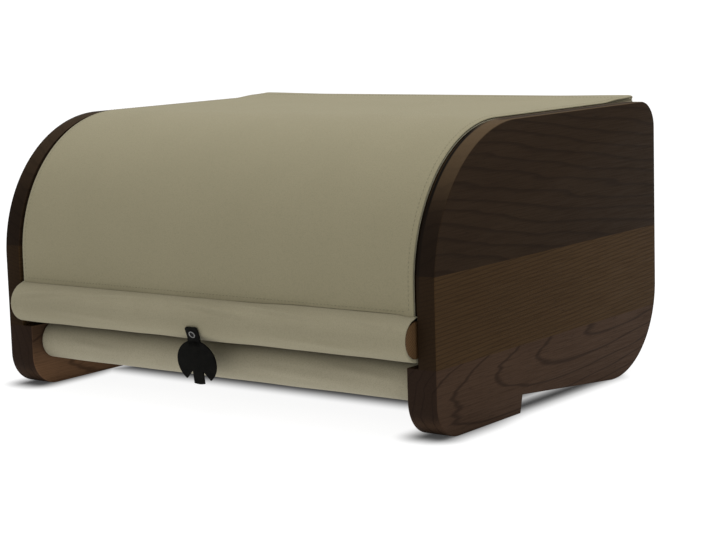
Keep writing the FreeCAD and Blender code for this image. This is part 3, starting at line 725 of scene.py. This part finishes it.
for fold in range(len(seams) - 1):
    start, end, hinge = seams[fold], seams[fold + 1], hingeAt[fold]
    last = fold == len(seams) - 2
    s = stripRows(start, end, hinge)
    if last:
        s = np.unique(np.concatenate([s, end - edgeRows(1.0)]))
    nodes = [str(n) for n in (fold, fold + 1) if 1 <= n <= 9]
    before, after = clothLook["lastBlend" if last else "blendReach"]
    y, z = coverPoint(np.array([hinge - before, hinge + after]), hingeRadius)
    blendStart, blendEnd = [(0.0, y[n] * mm, z[n] * mm) for n in (0, 1)]
    cloth, lining = [coverSheet(f"{layer}_fold_{fold}", s, *[clothLook[key] for key in keys],
                                cloths[layer + "Cloth"], last) for layer, keys in layerKeys.items()]
    rows = [(v, x, 0) for v in sideStitches if start <= v < end for x in (-sideX, sideX)]
    if last:
        rows += [(end - stitchLook["aboveCrease"], x, 1) for x in crossStitches]
    seam = stitchesOn(f"cover_stitches_{fold}", rows)
    flat = (2 * clothEdge * mm, (end - start) * mm)
    for piece, slotName, layer in ((cloth, "cover_cloth", "cloth"), (lining, "lining_cloth", "lining"),
                                   (seam, "cover_cloth", None)):
        if layer:
            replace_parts(piece, *[f"{layer}_{n}" for n in nodes])
        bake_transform(piece)
print("moving cover made in", len(seams) - 1, "strips")

# The fixed rear part of the cover
rearLook = {
    "rampStart": rearY - 48.15, "rampEnd": rearY - 21.15, "lowZ": 206.95, "highZ": 208.55, "turnY": rearY - 2.4,
    "flare": 0.9, "flareStart": 110.0, "flareBeyond": 4.0, "bendRadius": 1.1, "returnY": rearY - 7.9, "ply": 1.1,
    "liningEnd": rearY - 1.8, "liningZ": 204.4, "liningPly": 1.0, "hemRow": rearY - 20.2, "stitchEnd": rearY - 9.8,
    "levelRows": 24, "rampRows": 12, "deckRows": 10, "bendRows": 15, "liningRows": 30,
}
rearStart = boxShape["axisY"] - clothLook["flatEnd"]


def rearHeight(y):
    # level, then a soft ramp onto the clamp strip
    look = rearLook
    ramp = smoothStep((y - look["rampStart"]) / (look["rampEnd"] - look["rampStart"]))
    return look["lowZ"] + (look["highZ"] - look["lowZ"]) * ramp


def rearFlare(x, y):
    # the two rear corners lift a little towards the free end
    look = rearLook
    corner = smoothStep((np.abs(x) - look["flareStart"]) / (clothEdge - look["flareStart"]))
    width = look["turnY"] - look["hemRow"] + look["flareBeyond"]
    return look["flare"] * corner * smoothStep((y - look["hemRow"]) / width)


def rearLine():
    # the middle of the cloth, folded back under itself at the rear
    look = rearLook
    level = np.linspace(rearStart, look["rampStart"], look["levelRows"])
    ramp = np.linspace(look["rampStart"], look["rampEnd"], look["rampRows"])[1:]
    deck = np.linspace(look["rampEnd"], look["turnY"], look["deckRows"])[1:]
    bend = np.radians(np.linspace(90, -90, look["bendRows"]))[1:]
    near = look["returnY"] + edgeRows()[::-1]
    back = np.concatenate([np.linspace(look["turnY"], near[0], 4)[1:], near[1:]])
    y = np.concatenate([level, ramp, deck])
    turnedY = look["turnY"] + look["bendRadius"] * np.cos(bend)
    turnedZ = rearHeight(look["turnY"]) - look["bendRadius"] * (1 - np.sin(bend))
    z = np.concatenate([rearHeight(y), turnedZ, np.full(len(back), turnedZ[-1])])
    return np.concatenate([y, turnedY, back]), z


def carriedSheet(name, y, z, thickness, material, lift, raised=None):
    # a line in the (y, z) plane carried along X, with its edges rounded
    x = coverColumns()
    run = np.concatenate([[0.0], np.cumsum(np.hypot(np.diff(y), np.diff(z)))])
    out = unit(np.stack([-np.gradient(z), np.gradient(y)], -1))
    thin = edgeThin((clothEdge - np.abs(x))[None, :]) * edgeThin(run[-1] - run)[:, None]
    grids = []
    for sign in (1, -1):
        amount = sign * thickness / 2 * thin + edgeLift(x, lift)
        yGrid, zGrid = y[:, None] + out[:, :1] * amount, z[:, None] + out[:, 1:] * amount
        if raised:
            zGrid = zGrid + raised(x[None, :], y[:, None])
        grids.append(np.stack([np.broadcast_to(x, yGrid.shape), yGrid, zGrid], -1))
    xGrid, sGrid = np.meshgrid(x, -run + clothLook["flatEnd"])
    return clothPiece(name, grids, xGrid, sGrid, material), run[-1]


y, z = rearLine()
coverRear, rearLength = carriedSheet("cover_rear", y, z, rearLook["ply"], cloths["coverCloth"],
                                     clothLook["edgeDroop"], rearFlare)
y = np.concatenate([np.linspace(rearStart, rearLook["liningEnd"] - 1.0, rearLook["liningRows"]),
                    rearLook["liningEnd"] - edgeRows()[::-1]])
z = np.full(len(y), rearLook["liningZ"])
liningRear, liningLength = carriedSheet("lining_rear", y, z, rearLook["liningPly"], cloths["liningCloth"],
                                        clothLook["edgeLift"])
rearRun = np.arange(rearStart + stitchLook["pitch"] / 2, rearLook["stitchEnd"], stitchLook["pitch"])
above = rearLook["ply"] / 2 + stitchLook["proud"]
rearZ = rearHeight(rearRun) + rearFlare(sideX, rearRun) + above
sideRows = [np.stack([np.full(len(rearRun), x), rearRun, rearZ], -1) for x in (-sideX, sideX)]
hemRow = np.stack(np.broadcast_arrays(crossStitches, rearLook["hemRow"], rearLook["highZ"] + above), -1)
slope = np.gradient(rearZ, rearRun)
sideAlong = unit(np.stack([np.zeros_like(slope), np.ones_like(slope), slope], -1))
along = np.concatenate([sideAlong, sideAlong, np.tile([1.0, 0.0, 0.0], (len(hemRow), 1))])
sideOut = np.cross(np.array([[1.0, 0.0, 0.0]]), sideAlong)
outward = np.concatenate([sideOut, sideOut, np.tile([0.0, 0.0, 1.0], (len(hemRow), 1))])
rearStitches = stitchPiece("cover_stitches_rear", np.concatenate([*sideRows, hemRow]), along, outward)
for piece, slotName, node in ((coverRear, "cover_cloth", "fixed_cloth"), (liningRear, "lining_cloth", "fixed_lining"),
                              (rearStitches, "cover_cloth", None)):
    if node:
        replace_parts(piece, node)
    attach(piece, "carcass")

# The folded side hem beside the clamp strip: a bar whose outer face swells three times, once for each ply
hemLook = {"inner": 180.3, "outer": clothEdge - 1.4, "swell": 1.15, "plies": 3, "low": 205.05, "fan": 0.3,
           "fanWidth": 9.0, "startY": rearLook["rampStart"] + 6.0, "endY": rearY - 1.9, "overlap": 0.1,
           "rows": 16, "outerRows": 19, "innerRows": 4}
along = np.linspace(hemLook["startY"], hemLook["endY"], hemLook["rows"])
ceiling = rearHeight(along) + rearFlare(clothEdge, along) + clothLook["edgeDroop"]
ceiling += hemLook["overlap"] - rearLook["ply"] / 2
height = np.linspace(0.0, 1.0, hemLook["outerRows"])
bulge = hemLook["outer"] + hemLook["swell"] * np.abs(np.sin(hemLook["plies"] * math.pi * height))
fanned = hemLook["fan"] * smoothStep((along - hemLook["endY"] + hemLook["fanWidth"]) / hemLook["fanWidth"])
for side, sign in (("right", 1.0), ("left", -1.0)):
    rings = []
    for y, top, wide in zip(along, ceiling, fanned):
        x = np.append(bulge + wide, np.full(hemLook["innerRows"], hemLook["inner"]))
        z = hemLook["low"] + (top - hemLook["low"]) * height
        z = np.append(z, np.linspace(z[-1], z[0], hemLook["innerRows"]))
        rings.append(np.column_stack([sign * x, np.full(len(x), y), z]))
    points, faces, caps = loft(rings)
    edge = makePiece(f"hem_edge_{side}", points, faces, cloths["coverCloth"], caps)
    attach(edge, "carcass")
print("fixed cover made")

# The two cloth rolls; a fold runs from (x, arc from the top) to (x, arc), then its height and half width
rollLooks = {
    "bar": {"centre": barCentre, "half": coverHalf, "outer": 15.0, "apex": 16.0, "inner": 13.4, "innerRise": 0.8,
            "innerApex": 14.2, "wrinkle": 0.20, "seed": 11, "cloth": "rollClothPaintedLight", "node": "bar_wrap", "body": "bar",
            "rests": "bar_rod",
            "folds": [(-30, -8, 60, -17, 1.5, 2.8), (26, -6, 112, -13, 1.2, 2.6), (125, -8, 182, -16, 1.0, 2.8),
                      (-182, -16, -118, -9, 1.1, 2.8), (-112, -12, -50, -7, 1.0, 2.6), (60, -27, 160, -33, 0.6, 3.6),
                      (-150, -24, -60, -28, 0.6, 3.6)]},
    "rail": {"centre": railCentre, "half": railHalf, "outer": 14.3, "apex": 0.0, "inner": 12.7, "innerRise": 0.0,
             "innerApex": 0.0, "wrinkle": 0.15, "seed": 23, "cloth": "railClothPaintedLight", "node": "rail_wrap",
             "body": "carcass", "rests": "rail_rod",
             "folds": [(-150, -20, -90, -24, 0.5, 3.6), (20, -22, 130, -28, 0.5, 4.0), (100, -16, 170, -22, 0.4, 3.4)]},
}
wrinkleLook = {"around": 96, "along": 110, "endGap": 4.0, "waves": 9, "turns": 3, "lengths": (45.0, 210.0),
               "share": 3.0, "sunk": 0.6, "quietStart": 0.25, "quietWidth": 0.6, "foldFade": 0.35, "plyMiddle": 0.8}


def pullUp(turn, radius, apex):
    # a circle whose top is drawn up to a point: straight lines touch the circle and meet at the apex
    reach = np.arccos(radius / np.maximum(apex, radius))
    lean = np.abs(turn)
    return np.where(lean < reach, radius / np.cos(np.clip(reach - lean, 0.0, reach)), radius)


def foldShape(xGrid, arcGrid, x1, arc1, x2, arc2, wide):
    # a ridge with a shallow hollow on each side: (1 - q) exp(-q), q = (distance from the line / half width) squared,
    # faded out towards both ends of the line
    length = math.hypot(x2 - x1, arc2 - arc1)
    runX, runArc = (x2 - x1) / length, (arc2 - arc1) / length
    ahead = (xGrid - x1) * runX + (arcGrid - arc1) * runArc
    aside = (xGrid - x1) * runArc - (arcGrid - arc1) * runX
    fadeLength = wrinkleLook["foldFade"] * length
    fade = smoothStep(ahead / fadeLength) * smoothStep((length - ahead) / fadeLength)
    q = (aside / wide) ** 2
    return (1.0 - q) * np.exp(-q) * fade


def rollSurface(look):
    # the round of the cloth, drawn up to the crease, with slow ripples and the folds laid over it
    slow, half = wrinkleLook, look["half"]
    turn = np.linspace(-math.pi, math.pi, slow["around"] + 1)[:-1]      # zero is straight up
    near = half - edgeRows(1.5)
    middle = np.linspace(-half + slow["endGap"], half - slow["endGap"], slow["along"])
    turnGrid, xGrid = np.meshgrid(turn, np.concatenate([-near, middle, near[::-1]]))
    outer = pullUp(turnGrid, look["outer"], look["apex"] + (hemRise(xGrid) if look["apex"] else 0.0))
    random = np.random.default_rng(look["seed"])
    ripple = np.zeros_like(turnGrid)
    for _ in range(slow["waves"]):
        waves = random.integers(0, slow["turns"])
        length = random.uniform(*slow["lengths"])
        ripple += np.sin(2 * np.pi * xGrid / length + waves * turnGrid + random.uniform(0, 2 * np.pi)) / slow["share"]
    quiet = smoothStep((np.abs(turnGrid) - slow["quietStart"]) / slow["quietWidth"]) if look["apex"] else 1.0
    outer = outer - look["wrinkle"] * (slow["sunk"] + ripple) * quiet
    for x1, arc1, x2, arc2, height, wide in look["folds"]:
        outer = outer + height * foldShape(xGrid, turnGrid * look["outer"], x1, arc1, x2, arc2, wide)
    inner = pullUp(turnGrid, look["inner"], look["innerApex"])
    cy, cz = look["centre"]
    outerGrid, innerGrid = [np.stack([xGrid, cy + reach * np.sin(turnGrid), cz + rise + reach * np.cos(turnGrid)], -1)
                            for reach, rise in ((outer, 0.0), (inner, look["innerRise"]))]
    middle = (outerGrid + innerGrid) / 2
    half = (outerGrid - innerGrid) / 2 * edgeThin(half - np.abs(xGrid))[..., None]
    return [middle + half, middle - half], xGrid, turnGrid * look["outer"]


for name, look in rollLooks.items():
    grids, xGrid, arcGrid = rollSurface(look)
    roll = clothPiece(f"{name}_cloth", grids, xGrid, arcGrid, cloths[look["cloth"]], closed=True)
    around = 2 * math.pi * (look["outer"] - wrinkleLook["plyMiddle"])
    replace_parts(roll, look["node"])
    2 * look["half"] * mm
    around * mm
    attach(roll, look["body"])
print("rolls made")

# Wooden rods: full radius with a rounded chamfer at each end
rodShape = {"radius": 12.5, "chamfer": 0.7, "chamferSteps": 5, "straight": 150.0, "straightRows": 9, "around": 64}
rodLooks = {
    "bar_rod": {"centre": barCentre, "half": coverHalf - 0.4, "node": "bar_dowel", "body": "bar"},
    "rail_rod": {"centre": railCentre, "half": 184.0, "node": "rail_dowel", "body": "carcass"},
}
depth, inset = np.array(roundOff(rodShape["chamfer"], rodShape["chamferSteps"])).T
endRadius = rodShape["radius"] - inset
radius = np.concatenate([endRadius, np.full(rodShape["straightRows"], rodShape["radius"]), endRadius[::-1]])[:, None]
straightX = np.linspace(-rodShape["straight"], rodShape["straight"], rodShape["straightRows"])
turn = np.linspace(0, 2 * np.pi, rodShape["around"] + 1)[:-1]
for name, look in rodLooks.items():
    endX = look["half"] - depth
    x = np.concatenate([-endX, straightX, endX[::-1]])
    rings = np.stack(np.broadcast_arrays(x[:, None], look["centre"][0] + radius * np.cos(turn),
                                         look["centre"][1] + radius * np.sin(turn)), -1)
    points, faces, caps = loft(rings)
    rod = makePiece(name, points, faces, woods["dowel"], caps)
    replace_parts(rod, look["node"])
    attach(rod, look["body"])
print("rods made")

# The leather pull tab and its eyelet
tabLook = {
    "angle": 31.0, "tilt": 21.0, "ply": 1.5, "above": 5.4, "below": 4.2, "width": 11.3, "lean": 8.0, "gap": 0.95,
    "discWidth": 36.0, "discHeight": 32.8, "discDrop": 0.9, "notchInner": 4.8, "notchOuter": 14.9, "notchRise": 10.1,
    "edgeRound": 0.35, "cornerRound": 1.6, "rollRadius": 15.0, "neckBeyond": 5.0, "neckRows": 60, "settleStart": 0.8,
    "settleLength": 3.2, "ellipseRows": 400, "outlineRows": 64, "stemRows": 5, "sharpAbove": 50.0,
}


def outAt(turn):
    return np.array([0.0, -math.cos(turn), -math.sin(turn)])


def downAt(turn):
    return np.array([0.0, math.sin(turn), -math.cos(turn)])


tabAngle, tabTilt, tabLean = [math.radians(tabLook[key]) for key in ("angle", "tilt", "lean")]
rivetFoot = np.array([0.0, *barCentre]) + outAt(tabAngle) * (tabLook["rollRadius"] + tabLook["gap"])

# The strap's inner face: straight past the rivet at its tilt, then settling into the plate's lean
strapRun = np.linspace(-tabLook["above"], tabLook["below"] + tabLook["neckBeyond"], tabLook["neckRows"])
settle = smoothStep((strapRun - tabLook["settleStart"]) / tabLook["settleLength"])
strapTurn = tabTilt * (1 - settle) + tabLean * settle


def summed(slope, foot):
    # the line that has this slope and passes the rivet's foot
    line = np.concatenate([[0.0], np.cumsum((slope[1:] + slope[:-1]) / 2 * (strapRun[1] - strapRun[0]))])
    return line + foot - np.interp(0.0, strapRun, line)


strapY, strapZ = summed(np.sin(strapTurn), rivetFoot[1]), summed(-np.cos(strapTurn), rivetFoot[2])
plateTop = np.array([0.0] + [np.interp(tabLook["below"], strapRun, line) for line in (strapY, strapZ)])


def discLoop(inset):
    # an ellipse with two slanted notches that leave a stem between two lobes, drawn in by the inset
    look = tabLook
    halfW, halfH = look["discWidth"] / 2 - inset, look["discHeight"] / 2 - inset
    middle, low = look["discDrop"] + look["discHeight"] / 2, look["discDrop"] + look["discHeight"]
    slant = unit(np.array([look["notchOuter"] - look["notchInner"], look["notchRise"]]))
    normal = np.array([slant[1], -slant[0]])         # from the notch into the lobe, in (x, down)
    foot = np.array([look["notchInner"], low - look["notchRise"]]) + normal * inset
    turn = np.linspace(0.0, math.pi, look["ellipseRows"])
    ellipse = np.stack([halfW * np.sin(turn), middle - halfH * np.cos(turn)], -1)
    tip = np.argmax(((ellipse - foot) @ normal < 0) & (turn > math.pi / 2))     # where the cut meets the ellipse
    outline = ellipse[np.linspace(0, tip, look["outlineRows"]).astype(int)]
    stemX = np.linspace(look["notchInner"] - inset, 0, look["stemRows"])
    stem = np.stack([stemX, middle + halfH * np.sqrt(1 - (stemX / halfW) ** 2)], -1)
    root = foot + slant * ((stemX[0] - foot[0]) / slant[0])
    rightSide = np.concatenate([outline, [(root + outline[-1]) / 2, root, (root + stem[0]) / 2], stem[:-1]])
    return np.concatenate([rightSide, stem[-1:], rightSide[1:][::-1] * (-1, 1)])


def onPlate(flatLoop, height):
    across, down = flatLoop[:, :1], flatLoop[:, 1:]
    return plateTop + across * np.array([1.0, 0.0, 0.0]) + down * downAt(tabLean) + height * outAt(tabLean)


edge = roundOff(tabLook["edgeRound"])
levels = [(tabLook["ply"] - depth, inset) for depth, inset in edge] + edge[::-1]
points, faces, caps = loft([onPlate(discLoop(inset), height) for height, inset in levels])
disc = makePiece("tab_disc", points, faces, leatherMaterial, caps, sharpAbove=tabLook["sharpAbove"])

# The neck: a flat strap's section carried along that line, with its top corners rounded
halfNeck, ply = tabLook["width"] / 2, tabLook["ply"]
depth, inset = np.array(edge).T
section = np.concatenate([np.stack(corner, -1) for corner in (
    (halfNeck - inset, ply - depth), (halfNeck - depth, inset),
    (inset - halfNeck, depth), (depth - halfNeck, ply - inset))])
fromTop = 1 - np.clip((strapRun + tabLook["above"]) / tabLook["cornerRound"], 0, 1)
shrink = 1 - tabLook["cornerRound"] * (1 - np.sqrt(np.clip(1 - fromTop ** 2, 0.0, 1))) / halfNeck
points, faces, caps = loft(np.stack([
    section[:, 0] * shrink[:, None],
    strapY[:, None] - np.cos(strapTurn)[:, None] * section[:, 1],
    strapZ[:, None] - np.sin(strapTurn)[:, None] * section[:, 1],
], -1))
neck = makePiece("tab_neck", points, faces, leatherMaterial, caps, sharpAbove=tabLook["sharpAbove"])
for piece in (disc, neck):
    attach(piece, "tab")
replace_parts(disc, "pull_tab")

# The eyelet: a rolled rim turned about the rivet's axis, with a near-black barrel sunk inside it as painted shade in
# the hole
eyeletLook = {"rim": 2.8, "hole": 1.85, "rise": 0.6, "rimSteps": 13, "rimUnder": -0.1, "shank": 1.7, "shankTop": -0.2,
              "depth": 8.0, "throat": (0.9, -0.5), "throatLow": 0.85, "barrel": 1.7, "barrelTop": 0.1,
              "barrelDepth": 2.0, "barrelGap": 0.05, "barrelSide": 0.15, "barrelRound": 0.2, "around": 48}
rivetTurn = (tabAngle + tabTilt) / 2
rivetBase = rivetFoot + outAt(strapTurn[0]) * tabLook["ply"]


def turnedPiece(name, profile, material):
    # a closed profile of (radius, height along the axis) turned about the rivet's axis
    around = np.linspace(0, 2 * np.pi, eyeletLook["around"] + 1)[:-1]
    radius, height = np.asarray(profile).T
    spoke = np.cos(around)[:, None] * np.array([1.0, 0.0, 0.0]) + np.sin(around)[:, None] * downAt(rivetTurn)
    points = rivetBase + height[:, None, None] * outAt(rivetTurn) + radius[:, None, None] * spoke[None]
    piece = makePiece(name, points, gridFaces(len(profile), len(around), closed=True), material)
    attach(piece, "bar")
    return piece


def eyeletProfiles(look):
    middleR, halfR = (look["rim"] + look["hole"]) / 2, (look["rim"] - look["hole"]) / 2
    rolled = [(middleR + halfR * math.cos(turn), look["rise"] * math.sin(turn))
              for turn in np.radians(np.linspace(0, 180, look["rimSteps"]))]
    throat, low = look["throat"], -look["barrelDepth"]
    rim = [(0.0, -look["depth"]), (look["shank"], -look["depth"]), (look["shank"], look["shankTop"]),
           (look["rim"], look["rimUnder"]), *rolled, (look["hole"] * throat[0], throat[1]),
           (look["hole"] * look["throatLow"], low), (0.0, low)]
    foot, top, wide = low + look["barrelGap"], look["barrelTop"], look["barrel"]
    side, rounded = (wide, top - look["barrelSide"]), (wide - look["barrelRound"], top)
    return rim, [(0.0, foot), (wide, foot), side, rounded, (0.0, top)]


rim, barrel = eyeletProfiles(eyeletLook)
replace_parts(turnedPiece("tab_eyelet", rim, eyeletMaterial), "tab_rivet")
turnedPiece("tab_eyelet_hole_shade", barrel, holeShadeMaterial)
print("tab made")

# What stays as the CAD has it
kept = {"dowel_pins": woods["dowel"], "fixed_slats": woods["slat"],
        "clamp_strip": steelMaterial, "clamp_screws": steelMaterial}
kept.update({f"slat_{n}": woods["slat"] for n in range(1, 10)})
for name, material in kept.items():
    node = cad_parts[name]
    if not node.material_slots:
        node.data.materials.append(material)
    for holder in node.material_slots:
        holder.link = "OBJECT"
        holder.material = material

# The floor glows white like an overexposed table, but not at the box's feet nor under it, which paints a soft shadow
# there:
# glow = full x smooth step of the distance to the nearest of two footprints: a strip with rounded corners
# under each panel, and a rectangle between them whose distance is the larger of those along X and along Y
floorLook = {"size": 30.0, "roughness": 0.8, "specular": 0.1, "paperScale": 60.0, "dark": (0.14, 0.14, 0.14),
             "light": (0.17, 0.17, 0.17), "glow": 0.93}
shadowLook = {"stripX": 0.188, "feetHalf": 0.018, "stripHalf": 0.012, "feetEnd": (-0.095, -0.035), "stripY": -0.0175,
              "stripReach": 0.1275, "cornerRound": 0.014, "middleX": 0.176, "middleFront": -0.061, "middleSlope": 0.75,
              "start": -0.013, "end": 0.013, "floor": 0.05}


def larger(first, second):
    return first.reckon("MAXIMUM", second)


def smaller(first, second):
    return first.reckon("MINIMUM", second)


def footprintDistance(x, y, look):
    sideways = abs(x)
    stripHalf = spread(y, *look["feetEnd"], look["feetHalf"], look["stripHalf"])
    beside = abs(sideways - look["stripX"]) - stripHalf + look["cornerRound"]
    beyond = abs(y - look["stripY"]) - look["stripReach"] + look["cornerRound"]
    outX, outY = larger(beside, 0.0), larger(beyond, 0.0)
    toStrip = (outX * outX + outY * outY).reckon("SQRT") + smaller(larger(beside, beyond), 0.0) - look["cornerRound"]
    behind = y - (look["stripY"] + look["stripReach"])
    toMiddle = larger(larger(sideways - look["middleX"], behind), look["middleFront"] - y)
    return smaller(toStrip, toMiddle * look["middleSlope"])


floorMesh = bpy.data.meshes.new("floor")
reach = floorLook["size"]
floorCorners = [(-reach, -reach, 0), (reach, -reach, 0), (reach, reach, 0), (-reach, reach, 0)]
floorMesh.from_pydata(floorCorners, [], [(0, 1, 2, 3)])
floor = bpy.data.objects.new("floor", floorMesh)
bpy.context.scene.collection.objects.link(floor)
floorMaterial, shader, place = newMaterial("studioFloor", floorLook)
paper = noise(place["Object"], floorLook["paperScale"])
join(blendColour(paper, floorLook["dark"], floorLook["light"]), shader["Base Color"])
shader["Emission Color"].default_value = (1.0, 1.0, 1.0, 1.0)
x, y, _ = parts(place["Object"])
distance = footprintDistance(x, y, shadowLook)
glow = spread(distance, shadowLook["start"], shadowLook["end"], shadowLook["floor"], 1.0)
join(glow * floorLook["glow"], shader["Emission Strength"])
floorMesh.materials.append(floorMaterial)

# Light: a white sky that the camera sees brighter than the box does, and one soft lamp overhead
lightLook = {"sky": 0.58, "backdrop": 1.15, "lampPlace": (0.15, 0.25, 2.2), "lampAim": (0.0, 0.0, 0.1),
             "lampSize": 2.4, "lampPower": 46.0}
world = bpy.data.worlds.new("studio")
bpy.context.scene.world = world
world.use_nodes = True
sky = world.node_tree.nodes["Background"]
sky.inputs[0].default_value = (1.0, 1.0, 1.0, 1.0)
seen = wire(newNode(world.node_tree, "ShaderNodeLightPath").outputs["Is Camera Ray"])
join(spread(seen, 0.0, 1.0, lightLook["sky"], lightLook["backdrop"], smooth=False), sky.inputs[1])
lamp = bpy.data.lights.new("overheadLamp", "AREA")
lamp.shape = "SQUARE"
lamp.size = lightLook["lampSize"]
lamp.energy = lightLook["lampPower"]
holder = bpy.data.objects.new("overheadLamp", lamp)
holder.location = lightLook["lampPlace"]
aim = Vector(lightLook["lampAim"]) - Vector(lightLook["lampPlace"])
holder.rotation_euler = aim.to_track_quat("-Z", "Y").to_euler()
bpy.context.scene.collection.objects.link(holder)

# Camera, as fitted to the photograph: its place in metres, its turns in degrees
cameraLook = {"place": (0.8920, frontY * mm - 1.010796, 0.2934), "yaw": -36.70, "pitch": 8.22, "roll": 1.74,
              "focalPixels": 1910.0, "imageWidth": 716.0, "sensor": 36.0, "farEnd": 200.0}
yaw, pitch, roll = [math.radians(cameraLook[key]) for key in ("yaw", "pitch", "roll")]
forward = Vector((math.sin(yaw) * math.cos(pitch), math.cos(yaw) * math.cos(pitch), -math.sin(pitch)))
levelRight = Vector((math.cos(yaw), -math.sin(yaw), 0.0))
levelDown = forward.cross(levelRight)
right = math.cos(roll) * levelRight + math.sin(roll) * levelDown
down = -math.sin(roll) * levelRight + math.cos(roll) * levelDown
cameraData = bpy.data.cameras.new("camera")
cameraData.sensor_fit = "HORIZONTAL"
cameraData.sensor_width = cameraLook["sensor"]
cameraData.lens = cameraLook["sensor"] * cameraLook["focalPixels"] / cameraLook["imageWidth"]
cameraData.clip_end = cameraLook["farEnd"]
cameraData.dof.use_dof = False
camera = bpy.data.objects.new("camera", cameraData)
camera.matrix_world = Matrix.Translation(cameraLook["place"]) @ Matrix((right, -down, -forward)).transposed().to_4x4()
bpy.context.scene.collection.objects.link(camera)
bpy.context.scene.camera = camera
bpy.context.scene.view_settings.view_transform = "Standard"
print("studio made")
